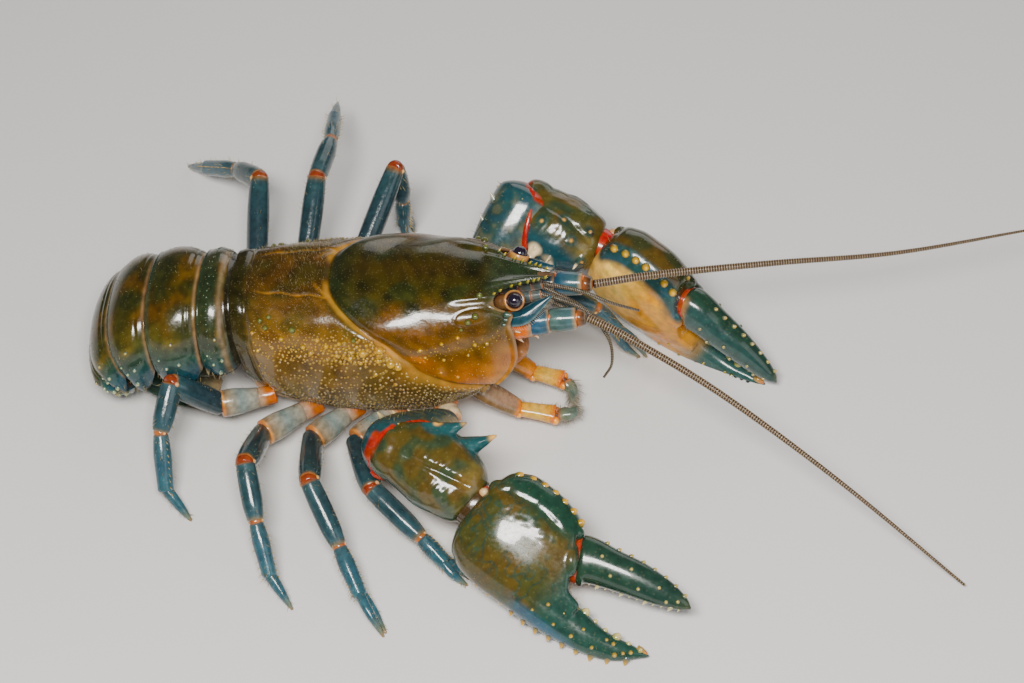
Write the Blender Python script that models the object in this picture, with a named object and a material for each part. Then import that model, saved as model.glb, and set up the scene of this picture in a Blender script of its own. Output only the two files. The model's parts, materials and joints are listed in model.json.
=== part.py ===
"""Alpine spiny crayfish, a life-size model standing on the floor.

The animal faces +X, its left side is +Y and the floor is z = 0. Sizes are in millimetres
until build() turns them into metres. The carapace has a body frame of its own, pitched head
up, whose origin lies inside the rear edge of the shell.
"""
import math
import random

import bmesh
import bpy
import numpy as np

# Driving dimensions, in millimetres and degrees
SHELL_PITCH = 10.5
SHELL_LIFT = 22.0
MIDLINE_Y = -2.5
GAP = 0.3
HALF_GAP = GAP / 2
CLAW_LENGTH = 42.5
FLAGELLUM_ROOT_RADIUS = 0.85
FLAGELLUM_TIP_RADIUS = 0.3
SEED = 11

MM = 0.001
WELD_DISTANCE = 0.002
SHARP_EDGE_ANGLE = 40.0

# Colours as linear RGB, with a roughness
SHELL_OLIVE = ((0.10, 0.085, 0.02), 0.3)
TAIL_OLIVE = ((0.07, 0.075, 0.03), 0.3)
CLAW_GREEN = ((0.05, 0.085, 0.05), 0.28)
LEG_BLUE = ((0.03, 0.10, 0.14), 0.32)
LEG_PALE = ((0.42, 0.26, 0.16), 0.4)
MOUTH_ORANGE = ((0.55, 0.22, 0.06), 0.4)
FEELER_BROWN = ((0.12, 0.07, 0.035), 0.45)
EYE_DARK = ((0.012, 0.012, 0.03), 0.1)


# Vector helpers


def vec(x, y, z):
    return np.array((x, y, z), float)


def unit(a):
    return a / np.linalg.norm(a)


def lerp(a, b, s):
    return a + (b - a) * s


def smooth_interp(x, knots, values):
    """Monotone cubic through a few knots, for outlines that need no straight stretches."""
    knots = np.asarray(knots, float)
    values = np.asarray(values, float)
    x = float(np.clip(x, knots[0], knots[-1]))
    slope = np.gradient(values, knots)
    i = min(int(np.searchsorted(knots, x, side="right")) - 1, len(knots) - 2)
    h = knots[i + 1] - knots[i]
    s = (x - knots[i]) / h
    return (
        values[i] * (1 + 2 * s) * (1 - s) ** 2
        + values[i + 1] * s * s * (3 - 2 * s)
        + slope[i] * h * s * (1 - s) ** 2
        + slope[i + 1] * h * s * s * (s - 1)
    )


def signed_power(value, power):
    return math.copysign(abs(value) ** power, value)


def body(x, y, z):
    """A point of the carapace's own frame, in the frame of the floor."""
    p = math.radians(SHELL_PITCH)
    return vec(
        x * math.cos(p) - z * math.sin(p),
        MIDLINE_Y + y,
        SHELL_LIFT + x * math.sin(p) + z * math.cos(p),
    )


# Mesh building


def loft(rings, close_start=True, close_end=True):
    """Closed surface over rings of equal length; a one-point last ring makes a tip."""
    verts = []
    faces = []
    starts = []
    for ring in rings:
        starts.append(len(verts))
        verts.extend(ring)
    for a, b, sa, sb in zip(rings[:-1], rings[1:], starts[:-1], starts[1:]):
        n = len(a)
        for k in range(n):
            m = (k + 1) % n
            if len(b) == 1:
                faces.append((sa + k, sa + m, sb))
            else:
                faces.append((sa + k, sa + m, sb + m, sb + k))
    if close_start:
        faces.append(tuple(reversed(range(starts[0], starts[0] + len(rings[0])))))
    if close_end and len(rings[-1]) > 1:
        faces.append(tuple(range(starts[-1], starts[-1] + len(rings[-1]))))
    return verts, faces


def oval(centre, wide, high, half_width, half_height, sides, power=2.2):
    ring = []
    for k in range(sides):
        a = 2 * math.pi * (k + 0.5) / sides
        u = half_width * signed_power(math.cos(a), 2 / power)
        v = half_height * signed_power(math.sin(a), 2 / power)
        ring.append(centre + u * wide + v * high)
    return ring


def cross_axes(normal, side):
    """Width and height directions of a section with this normal."""
    wide = unit(side - normal * np.dot(side, normal))
    return wide, np.cross(normal, wide)


def cone(root, direction, length, radius, sides=5, sunk=0.8):
    """A tapered spine whose root is sunk below the surface that it grows from."""
    direction = unit(direction)
    helper = vec(0, 0, 1) if abs(direction[2]) < 0.9 else vec(1, 0, 0)
    wide, high = cross_axes(direction, helper)
    ring = oval(root - direction * sunk, wide, high, radius, radius, sides, 2)
    return loft([ring, [root + direction * length]])


def mitre_reach(radius, direction, mitre):
    """Distance from a mitred joint at which a full section clears the mitre plane."""
    cos = abs(np.dot(unit(direction), mitre))
    return radius * math.sqrt(max(1 - cos * cos, 0.0)) / cos + GAP


def tube(stations, side, sides=10, power=2.2, normals=None):
    """Loft through (centre, half width, half height) stations; a None size closes to a tip."""
    centres = [s[0] for s in stations]
    rings = []
    for i, (centre, half_width, half_height) in enumerate(stations):
        if half_width is None:
            rings.append([centre])
            continue
        if normals is not None and normals[i] is not None:
            tangent = unit(normals[i])
        else:
            before = centres[max(i - 1, 0)]
            after = centres[min(i + 1, len(centres) - 1)]
            tangent = unit(after - before)
        wide, high = cross_axes(tangent, side)
        rings.append(oval(centre, wide, high, half_width, half_height, sides, power))
    return loft(rings)


def mesh_from(pieces, name):
    """One mesh object per closed piece, each with its faces turned outward."""
    made = []
    for k, (verts, faces) in enumerate(pieces):
        mesh = bpy.data.meshes.new(name + "_piece")
        mesh.from_pydata([tuple(v) for v in verts], [], faces)
        bm = bmesh.new()
        bm.from_mesh(mesh)
        bmesh.ops.recalc_face_normals(bm, faces=bm.faces)
        if bm.calc_volume(signed=True) < 0:
            bmesh.ops.reverse_faces(bm, faces=bm.faces)
        bm.to_mesh(mesh)
        bm.free()
        obj = bpy.data.objects.new(name + f"_piece{k}", mesh)
        bpy.context.scene.collection.objects.link(obj)
        made.append(obj)
    return made


def apply_modifiers(obj):
    graph = bpy.context.evaluated_depsgraph_get()
    mesh = bpy.data.meshes.new_from_object(obj.evaluated_get(graph))
    obj.modifiers.clear()
    obj.data = mesh


def drop(obj):
    bpy.data.objects.remove(obj, do_unlink=True)


def fuse(objects):
    """Boolean union of a list of closed objects into the first of them."""
    base, rest = objects[0], objects[1:]
    if rest:
        group = bpy.data.collections.new("fuse")
        for obj in rest:
            group.objects.link(obj)
        union = base.modifiers.new("union", "BOOLEAN")
        union.operation = "UNION"
        union.operand_type = "COLLECTION"
        union.collection = group
        union.solver = "EXACT"
        apply_modifiers(base)
        for obj in rest:
            drop(obj)
        bpy.data.collections.remove(group)
    return base


def cut(obj, cutter):
    """Take a cutter's volume from an object."""
    difference = obj.modifiers.new("cut", "BOOLEAN")
    difference.operation = "DIFFERENCE"
    difference.object = cutter
    difference.solver = "EXACT"
    apply_modifiers(obj)
    drop(cutter)


def keep_largest(obj):
    """Keep the biggest closed surface, so that no scrap or sealed hollow is left."""
    bm = bmesh.new()
    bm.from_mesh(obj.data)
    bmesh.ops.remove_doubles(bm, verts=bm.verts, dist=WELD_DISTANCE)
    bmesh.ops.dissolve_degenerate(bm, edges=bm.edges, dist=WELD_DISTANCE)
    seen = set()
    islands = []
    for seed in bm.faces:
        if seed in seen:
            continue
        seen.add(seed)
        stack = [seed]
        island = []
        while stack:
            face = stack.pop()
            island.append(face)
            for edge in face.edges:
                for other in edge.link_faces:
                    if other not in seen:
                        seen.add(other)
                        stack.append(other)
        islands.append(island)
    islands.sort(key=lambda faces: sum(f.calc_area() for f in faces))
    scraps = [f for island in islands[:-1] for f in island]
    if scraps:
        bmesh.ops.delete(bm, geom=scraps, context="FACES")
        loose = [v for v in bm.verts if not v.link_faces]
        bmesh.ops.delete(bm, geom=loose, context="VERTS")
    bmesh.ops.triangulate(bm, faces=bm.faces)
    bm.to_mesh(obj.data)
    bm.free()


MATERIALS = {}


def material(colour):
    """Principled material for a colour and roughness pair, made once."""
    if colour not in MATERIALS:
        rgb, roughness = colour
        mat = bpy.data.materials.new(f"finish_{len(MATERIALS)}")
        mat.use_nodes = True
        shader = mat.node_tree.nodes["Principled BSDF"]
        shader.inputs["Base Color"].default_value = (*rgb, 1)
        shader.inputs["Roughness"].default_value = roughness
        shader.inputs["Metallic"].default_value = 0.0
        MATERIALS[colour] = mat
    return MATERIALS[colour]


def make(name, pieces, colour, cutters=()):
    """Fuse pieces into the node called name, less any cutters, and give it its colour."""
    obj = fuse(mesh_from(pieces, name))
    for cutter in cutters:
        cut(obj, mesh_from([cutter], name + "_cutter")[0])
    keep_largest(obj)
    obj.name = name
    obj.data.name = name
    obj.data.materials.clear()
    obj.data.materials.append(material(colour))
    obj.data.shade_smooth()
    obj.data.set_sharp_from_angle(angle=math.radians(SHARP_EDGE_ANGLE))
    return obj


# Carapace

FRONT_WALL_X = 49.0
FRONT_WALL_SCALE = 0.86
MARGIN_ANGLE = 133.0
UPPER_POWER = 2.35
LOWER_POWER = 3.0
UNDERSIDE_RISE = 1.2
GROOVE_DEPTH = 0.75
GROOVE_WIDTH = 1.5


def shell_width(x):
    """Half width of the shell."""
    return smooth_interp(
        x,
        (0, 5, 12, 22, 34, 42, 47.5, 51.5, 57, 61),
        (11.0, 12.2, 13.3, 14.2, 14.4, 13.3, 11.6, 9.6, 7.8, 7.2),
    )


def shell_axis(x):
    """Level of the widest part of the section."""
    return smooth_interp(x, (0, 20, 40, 52, 61), (-0.5, -1.8, -1.8, -1.2, 0.6))


def shell_back(x):
    """Level of the middle of the back."""
    return smooth_interp(x, (0, 8, 20, 32, 44, 52, 61), (10.8, 10.8, 10.3, 9.5, 8.4, 7.0, 5.5))


def shell_bottom(x):
    """Depth that the lower curve of the section would reach below its axis."""
    return smooth_interp(
        x, (0, 4, 10, 20, 30, 37, 43, 52), (11.5, 15.5, 18.4, 19.8, 20.2, 19.2, 17.8, 16.8)
    )


def front_edge(angle):
    """How far forward the shell's front edge lies, by angle from the top."""
    return smooth_interp(
        abs(angle),
        (0, 6, 14, 22, 30, 40, 60, 72, 90, 110, 133),
        (61.0, 59.6, 56.4, 52.0, 50.4, 50.2, 53.4, 52.8, 53.0, 51.6, 44.5),
    )


def shell_point(x, angle, scale=1.0):
    """A point of the shell's outer surface, or of a section scaled about its axis."""
    a = math.radians(angle)
    power = UPPER_POWER if abs(angle) <= 90 else LOWER_POWER
    axis = shell_axis(x)
    depth = shell_back(x) - axis if abs(angle) <= 90 else shell_bottom(x)
    y = shell_width(x) * signed_power(math.sin(a), 2 / power)
    z = depth * signed_power(math.cos(a), 2 / power)
    return vec(x, y * scale, axis + z * scale)


def shell_surface(fraction, angle):
    """A surface point from a fraction of the length, rear to front, and an angle."""
    return shell_point(fraction * front_edge(angle), angle)


def groove_depth(x, angle):
    """The cervical groove, a U across the back whose arms run forward down the cheeks."""
    a = abs(angle)
    line = smooth_interp(
        a,
        (0, 14, 27, 46, 56, 68, 89, 105, 120, 133),
        (18.6, 18.9, 20.2, 23.6, 26.1, 29.2, 33.4, 39.5, 44.6, 48.0),
    )
    return GROOVE_DEPTH * math.exp(-(((x - line) / GROOVE_WIDTH) ** 2))


def shell_outer(fraction, angle):
    """The surface with its groove, in the frame of the floor."""
    p = shell_surface(fraction, angle)
    inward = vec(0, -p[1], shell_axis(p[0]) - p[2])
    return body(*(p + unit(inward) * groove_depth(p[0], angle)))


def shell_normal(fraction, angle):
    d = 0.01
    along = shell_outer(fraction + d, angle) - shell_outer(fraction - d, angle)
    round_ = shell_outer(fraction, angle + 1) - shell_outer(fraction, angle - 1)
    return unit(np.cross(round_, along)) * -1


def shell_angles(sides):
    half = np.linspace(0, MARGIN_ANGLE, sides // 2 + 1)
    return list(-half[:0:-1]) + list(half)


UNDERSIDE_SHARES = (0.97, 0.4, -0.4, -0.97)
SHELL_FRACTIONS = (
    0, 0.06, 0.14, 0.22, 0.28, 0.325, 0.36, 0.4, 0.46, 0.54, 0.62, 0.7, 0.78, 0.85, 0.91, 0.96, 1,
)


def shell_ring(fraction, angles):
    """Outer points from the right margin over the back to the left, closed beneath."""
    ring = [shell_outer(fraction, a) for a in angles]
    margin = shell_surface(fraction, MARGIN_ANGLE)
    for share in UNDERSIDE_SHARES:
        ring.append(body(margin[0], margin[1] * share, margin[2] + UNDERSIDE_RISE))
    return ring


def spinules():
    """Rostral, orbital and groove spines, and the pale tubercles of the flanks."""
    grown = []
    for sign in (-1, 1):
        for fraction, angle in ((0.985, 7), (0.99, 13), (0.99, 19), (0.97, 24)):
            root = shell_outer(fraction, sign * angle)
            grown.append(cone(root, vec(0.5, sign * 0.8, 0.6), 1.1, 0.6))
        for fraction, angle, size in ((0.9, 30, 1.1), (0.985, 60, 1.5), (0.98, 66, 1.0)):
            root = shell_outer(fraction, sign * angle)
            grown.append(cone(root, shell_normal(fraction, sign * angle) + vec(1.4, 0, 0), size, 0.7))
    draw = random.Random(SEED)
    for sign in (-1, 1):
        for row in range(8):
            angle = 50 + 10 * row
            for step in range(11):
                fraction = 0.08 + 0.062 * (step + 0.5 * (row % 2)) + draw.uniform(-0.01, 0.01)
                x = shell_surface(fraction, angle)[0]
                if groove_depth(x, angle) > 0.1 or fraction > 0.78:
                    continue
                root = shell_outer(fraction, sign * angle)
                size = draw.uniform(0.45, 0.7)
                grown.append(cone(root, shell_normal(fraction, sign * angle), size, 0.6, sides=4))
    return grown


def make_carapace():
    angles = shell_angles(32)
    rings = [shell_ring(f, angles) for f in SHELL_FRACTIONS]
    wall = [body(*shell_point(FRONT_WALL_X, a, FRONT_WALL_SCALE)) for a in angles]
    margin = shell_point(FRONT_WALL_X, MARGIN_ANGLE, FRONT_WALL_SCALE)
    for share in UNDERSIDE_SHARES:
        wall.append(body(margin[0], margin[1] * share, margin[2] + 0.2))
    rings.append(wall)
    make("carapace", [loft(rings)] + spinules(), SHELL_OLIVE)


# Underside of the thorax, which carries the limbs

THORAX_HALF_WIDTH = 8.4
THORAX_DEPTH = 5.4
LIMB_ROOT_Z = 3.4


def underside_z(x):
    """Height in the body frame of the shell's underside at x."""
    cos = math.cos(math.radians(MARGIN_ANGLE))
    return shell_axis(x) + shell_bottom(x) * signed_power(cos, 2 / LOWER_POWER) + UNDERSIDE_RISE


THORAX_END = 40.5


def make_thorax_underside():
    rings = []
    for x in [fraction * front_edge(MARGIN_ANGLE) for fraction in SHELL_FRACTIONS[:-2]]:
        top = underside_z(x) - GAP
        low = top - THORAX_DEPTH
        h = THORAX_HALF_WIDTH
        outline = ((-h, top), (-h, low + 1.2), (-h * 0.6, low), (h * 0.6, low), (h, low + 1.2), (h, top))
        rings.append([body(x, y, z) for y, z in outline])
    make("thorax_underside", [loft(rings)], LEG_PALE)


def limb_root(x, sign):
    """Where a limb leaves the side of the thorax."""
    return body(x, sign * (THORAX_HALF_WIDTH + GAP), underside_z(x) - LIMB_ROOT_Z)


# Abdomen: six rings curled under the body, and the tail fan

TAIL_BACKS = [
    (-2.1, 32.3), (-8.4, 31.6), (-18.4, 28.9), (-26.4, 23.2), (-30.6, 15.0), (-29.6, 6.6), (-23.2, 1.6),
]
TAIL_BELLIES = [
    (1.1, 15.0), (-6.4, 15.0), (-15.4, 14.2), (-21.2, 12.8), (-24.0, 10.6), (-23.6, 9.0), (-20.8, 8.2),
]
TAIL_WIDTHS = [10.6, 12.0, 12.8, 12.6, 11.6, 10.4, 8.6]
PLEURON_DROPS = [0.8, 3.4, 3.2, 2.6, 1.6, 0.6]


def tail_path(step, points):
    """A point on one of the tail's middle lines, from 0 at the shell to 6 at the tail fan."""
    knots = range(len(points))
    x = smooth_interp(step, knots, [p[0] for p in points])
    z = smooth_interp(step, knots, [p[1] for p in points])
    return vec(x, MIDLINE_Y, z)


def tail_section(step, widen, drop_to, shift):
    """One section of the tail, its pleura reaching drop_to below the arch."""
    back = tail_path(step, TAIL_BACKS)
    half = smooth_interp(step, range(7), TAIL_WIDTHS) * widen
    down = tail_path(step, TAIL_BELLIES) - back
    depth = np.linalg.norm(down)
    down = down / depth
    normal = unit(np.cross(vec(0, 1, 0), down))
    centre = back + normal * shift
    ring = []
    for k in range(13):
        a = math.pi * k / 12 - math.pi / 2
        y = half * signed_power(math.sin(a), 0.85)
        d = depth * 0.72 * (1 - signed_power(math.cos(a), 0.8))
        if k in (0, 12):
            y *= 0.97
            d = depth * 0.8 + drop_to
        ring.append(centre + vec(0, y, 0) + down * d)
    for share in (0.84, 0.45, -0.45, -0.84):
        lift = 0.72 if abs(share) > 0.5 else 0.86
        ring.append(centre + vec(0, half * share, 0) + down * depth * lift)
    return [vec(p[0], p[1], max(p[2], 0.0)) for p in ring]


def make_abdomen():
    for i in range(6):
        start, end = i, i + 1
        stations = (
            (start, 0.955, 0.0, HALF_GAP),
            (start + 0.3, 0.985, PLEURON_DROPS[i] * 0.7, 0),
            (start + 0.72, 1.0, PLEURON_DROPS[i], 0),
            (end, 0.97, 0.0, -HALF_GAP),
        )
        rings = [tail_section(*s) for s in stations]
        grown = []
        for sign in (-1, 1):
            for k, size in ((11, 1.0), (10, 0.8)):
                index = k if sign > 0 else 12 - k
                root = lerp(rings[1][index], rings[2][index], 0.75)
                out = unit(root - lerp(rings[1][6], rings[2][15], 0.6))
                grown.append(cone(root, out, size, 0.7))
        make(f"abdomen_{i + 1}", [loft(rings)] + grown, TAIL_OLIVE)


def fan_blade(root, tip, half_width, bottom, top, start_width):
    """A flat rounded blade of the tail fan, lying level."""
    root, tip = np.array(root, float), np.array(tip, float)
    along = unit(tip - root)
    across = vec(-along[1], along[0], 0)
    length = np.linalg.norm(tip - root)
    rings = []
    for s, w in ((0, start_width), (0.3, 0.85), (0.65, 1.0), (0.88, 0.8), (1.0, 0.35)):
        centre = root + along * length * s
        half = half_width * w
        low, high = bottom, lerp(top, bottom + 0.5, s)
        rings.append(
            [
                vec(*(centre + across * half)[:2], low),
                vec(*(centre + across * half)[:2], lerp(low, high, 0.6)),
                vec(*(centre + across * half * 0.5)[:2], high),
                vec(*(centre - across * half * 0.5)[:2], high),
                vec(*(centre - across * half)[:2], lerp(low, high, 0.6)),
                vec(*(centre - across * half)[:2], low),
            ]
        )
    return loft(rings)


FAN_ROOT_X = -20.0


def make_tail_fan():
    y = MIDLINE_Y
    telson = fan_blade((FAN_ROOT_X, y, 0), (-5.0, y, 0), 4.4, 5.9, 7.4, 0.9)
    make("telson", [telson], TAIL_OLIVE)
    for side, sign in (("right", -1), ("left", 1)):
        inner = fan_blade((FAN_ROOT_X, y + sign * 3.6, 0), (-5.5, y + sign * 4.6, 0), 3.4, 4.2, 5.6, 0.6)
        outer = fan_blade((FAN_ROOT_X, y + sign * 4.6, 0), (-6.5, y + sign * 6.6, 0), 3.4, 2.5, 3.9, 0.5)
        make(f"uropod_inner_{side}", [inner], TAIL_OLIVE)
        make(f"uropod_outer_{side}", [outer], TAIL_OLIVE)


# Head: eyes, feelers and mouthparts, which start from the wall inside the shell's front

WALL_FACE = FRONT_WALL_X + GAP
EYE_RADIUS = 1.5
EYE_CUP_RADIUS = 1.95


def make_eyes():
    for side, sign in (("right", -1), ("left", 1)):
        root = body(WALL_FACE, sign * 4.6, 3.2)
        eye = body(WALL_FACE + 4.5, sign * 5.7, 5.0)
        along = unit(eye - root)
        neck = eye - along * (EYE_RADIUS * 0.75)
        stations = [
            (root, 1.4, 1.3),
            (lerp(root, neck, 0.5), 1.6, 1.6),
            (lerp(root, neck, 0.8), EYE_CUP_RADIUS, EYE_CUP_RADIUS),
            (neck - along * GAP, EYE_CUP_RADIUS, EYE_CUP_RADIUS),
        ]
        normals = [body(1, 0, 0) - body(0, 0, 0), along, along, along]
        make(f"eyestalk_{side}", [tube(stations, vec(0, 1, 0), 10, 2, normals)], MOUTH_ORANGE)
        rings = []
        for k in range(1, 6):
            a = math.radians(41 + 139 * (k - 1) / 5)
            centre = eye - along * EYE_RADIUS * math.cos(a)
            rings.append((centre, EYE_RADIUS * math.sin(a), EYE_RADIUS * math.sin(a)))
        rings.append((eye + along * EYE_RADIUS, None, None))
        make(f"eye_{side}", [tube(rings, vec(0, 1, 0), 12, 2, [along] * 6)], EYE_DARK)


def curve_points(points, count):
    """Evenly numbered points on a smooth curve through a few hand-set ones."""
    knots = range(len(points))
    out = []
    for k in range(count):
        s = (len(points) - 1) * k / (count - 1)
        out.append(vec(*(smooth_interp(s, knots, [p[axis] for p in points]) for axis in range(3))))
    return out


FLAGELLA = {
    "right": [
        (65.5, -6.6, 31.4), (74, -10.2, 30.2), (92, -17.8, 24.6), (115, -28.2, 14.0), (139, -40.1, 1.2),
    ],
    "left": [(66.2, 1.6, 31.6), (78, 5.2, 31.4), (100, 12.2, 29.0), (124, 21.6, 23.8), (150, 33.6, 19.6)],
}
PEDUNCLE_ROOT = (WALL_FACE, 5.5, -2.0)
SMALL_FEELERS = {
    "right": (
        [(64.5, -3.6, 30.4), (69.5, -6.0, 25.5), (70.6, -8.0, 20.5), (69.2, -9.0, 17.0)],
        [(63.0, -3.9, 29.2), (66.5, -3.8, 26.6), (69.5, -3.2, 24.4)],
    ),
    "left": (
        [(64.0, -0.4, 31.6), (69.5, -0.8, 29.4), (75.0, 0.6, 26.0)],
        [(62.6, -1.4, 29.6), (66.0, -1.0, 26.0), (68.5, 0.2, 22.8)],
    ),
}


def make_feelers():
    forward = body(1, 0, 0) - body(0, 0, 0)
    for side, sign in (("right", -1), ("left", 1)):
        root = body(PEDUNCLE_ROOT[0], sign * PEDUNCLE_ROOT[1], PEDUNCLE_ROOT[2])
        end = vec(*FLAGELLA[side][0])
        aim = unit(vec(*FLAGELLA[side][1]) - end)
        stop = end - aim * HALF_GAP
        stations = [
            (root, 2.9, 2.9),
            (lerp(root, stop, 0.25), 2.9, 2.8),
            (lerp(root, stop, 0.5), 2.3, 2.2),
            (lerp(root, stop, 0.56), 2.5, 2.4),
            (lerp(root, stop, 0.76), 1.9, 1.8),
            (lerp(root, stop, 0.8), 2.0, 2.0),
            (stop, 1.2, 1.2),
        ]
        normals = [forward, None, None, None, None, None, aim]
        make(f"antenna_base_{side}", [tube(stations, vec(0, 0, 1), 10, 2, normals)], LEG_BLUE)

        path = curve_points(FLAGELLA[side], 41)
        total = len(path) - 1
        for part, first, last in (("near", 0, total // 2), ("far", total // 2, total)):
            stations = []
            for k in range(first, last + 1):
                radius = lerp(FLAGELLUM_ROOT_RADIUS, FLAGELLUM_TIP_RADIUS, k / total)
                here = unit(path[min(k + 1, total)] - path[max(k - 1, 0)])
                centre = path[k]
                if k == first:
                    centre = centre + here * HALF_GAP
                elif k == last and part == "near":
                    centre = centre - here * HALF_GAP
                centre = vec(centre[0], centre[1], max(centre[2], radius))
                stations.append((centre, radius, radius))
            make(f"flagellum_{part}_{side}", [tube(stations, vec(0, 0, 1), 6, 2)], FEELER_BROWN)

        scale_root = body(WALL_FACE, sign * 7.4, 0.8)
        scale_tip = body(WALL_FACE + 11.2, sign * 3.6, 3.4)
        bulge = body(WALL_FACE + 5.6, sign * 6.8, 1.5)
        stations = [
            (scale_root, 1.0, 0.5),
            (lerp(scale_root, bulge, 0.5), 1.3, 0.55),
            (bulge, 2.0, 0.55),
            (lerp(bulge, scale_tip, 0.5), 1.4, 0.45),
            (scale_tip, None, None),
        ]
        tilt = vec(0, 0.9, -sign * 0.45)
        normals = [forward, None, None, None, None]
        make(f"antenna_scale_{side}", [tube(stations, tilt, 8, 2.2, normals)], LEG_BLUE)

        small_root = body(WALL_FACE, sign * 1.6, 0.4)
        small_end = body(WALL_FACE + 8.8, sign * 1.3, 1.3)
        stations = [
            (small_root, 1.2, 1.3),
            (lerp(small_root, small_end, 0.4), 1.2, 1.3),
            (small_end, 1.0, 1.1),
        ]
        pieces = [tube(stations, vec(0, 1, 0), 8, 2, [forward, None, None])]
        for rise, route in zip((0.35, -0.35), SMALL_FEELERS[side]):
            start = small_end + vec(-0.8, 0, rise)
            points = curve_points([start] + [vec(*p) for p in route], 9)
            sizes = [lerp(0.5, 0.26, k / 8) for k in range(9)]
            pieces.append(tube([(p, r, r) for p, r in zip(points, sizes)], vec(0, 0, 1), 5, 2))
        make(f"antennule_{side}", pieces, LEG_BLUE)


MAXILLIPED_ROUTES = {
    "right": [(53.0, -8.2, 4.8), (60.2, -8.5, 4.0), (63.2, -8.4, 4.6), (64.0, -5.8, 3.8)],
    "left": [(55.0, 1.0, 5.0), (61.1, -0.4, 4.9), (63.0, -1.9, 3.8), (62.9, -3.6, 1.8)],
}


def make_mouth():
    forward = body(1, 0, 0) - body(0, 0, 0)
    stations = [
        (body(THORAX_END + GAP, 0, underside_z(THORAX_END) - 2.3), 2.7, 1.7),
        (body(45.0, 0, -16.6), 3.2, 1.7),
        (body(49.0, 0, -15.6), 3.6, 1.8),
        (body(52.4, 0, -13.9), 2.4, 1.2),
    ]
    make("mouthparts", [tube(stations, vec(0, 1, 0), 12, 2.4, [forward] * 4)], MOUTH_ORANGE)

    for side, sign in (("right", -1), ("left", 1)):
        hip, knee, wrist, tip = (vec(*p) for p in MAXILLIPED_ROUTES[side])
        root = body(THORAX_END + GAP, sign * 5.8, underside_z(THORAX_END) - 3.2)
        fold = unit(unit(hip - root) + unit(knee - hip))
        turn = unit(unit(knee - hip) + unit(wrist - knee))
        stations = [
            (root, 2.2, 1.6),
            (lerp(root, hip, 0.35), 2.6, 1.7),
            (lerp(root, hip, 0.85), 2.4, 1.5),
            (hip, 1.8, 1.2),
            (lerp(hip, knee, 0.3), 2.0, 1.5),
            (lerp(hip, knee, 0.8), 1.9, 1.4),
            (knee - turn * HALF_GAP, 1.4, 1.2),
        ]
        normals = [forward, None, None, fold, None, None, turn]
        make(f"maxilliped_{side}", [tube(stations, vec(0, 1, 0), 8, 2.4, normals)], MOUTH_ORANGE)
        stations = [
            (knee + turn * HALF_GAP, 1.3, 1.1),
            (lerp(knee, wrist, 0.6), 1.4, 1.2),
            (wrist, 1.1, 1.0),
            (lerp(wrist, tip, 0.5), 0.9, 0.8),
            (tip, 0.4, 0.4),
        ]
        normals = [turn, None, None, None, None]
        make(f"maxilliped_palp_{side}", [tube(stations, vec(0, 1, 0), 8, 2, normals)], LEG_BLUE)


# Walking legs: an upper length to the knee and a lower length to the foot

LEG_RADIUS = 2.1
LEG_ROUTES = {
    "right": [
        (
            28,
            (22.4, -19.4, 6.8), (27.4, -33.4, 9.2), (37.4, -41.0, 5.4),
            (43.0, -45.2, 2.6), (46.8, -47.4, 0.25),
        ),
        (
            19.5,
            (14.2, -19.2, 6.0), (16.2, -36.2, 14.0), (22.7, -45.8, 7.4),
            (28.1, -54.8, 3.0), (32.6, -60.4, 0.25),
        ),
        (
            11.5,
            (4.8, -19.2, 6.2), (4.0, -34.2, 15.6), (6.9, -43.2, 9.8),
            (10.7, -52.0, 3.0), (15.0, -55.9, 0.25),
        ),
        (
            3.5,
            (-3.4, -14.6, 7.2), (-12.4, -17.8, 17.2), (-13.8, -25.4, 11.6),
            (-11.9, -34.4, 3.2), (-6.9, -37.3, 0.25),
        ),
    ],
    "left": [
        (
            28,
            (39.0, 10.4, 2.9), (55.6, 11.2, 17.4), (66.4, 11.0, 13.8),
            (71.4, 10.8, 6.6), (76.6, 10.4, 0.25),
        ),
        (
            19.5,
            (15.8, 13.6, 6.4), (24.2, 37.0, 22.0), (25.4, 37.4, 12.8),
            (25.4, 37.6, 4.6), (27.0, 39.6, 0.25),
        ),
        (
            11.5,
            (7.4, 13.6, 6.8), (8.6, 34.6, 20.6), (9.8, 46.4, 19.0),
            (8.8, 59.4, 13.6), (8.4, 66.0, 10.4),
        ),
        (
            3.5,
            (-1.4, 12.4, 8.0), (-3.0, 34.2, 19.6), (-9.0, 42.0, 13.6),
            (-18.0, 49.6, 5.4), (-22.4, 54.4, 0.25),
        ),
    ],
}


def settle(piece):
    """Press the lowest points of a foot flat on the floor."""
    verts, faces = piece
    return [vec(p[0], p[1], max(p[2], 0.0)) for p in verts], faces


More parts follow.
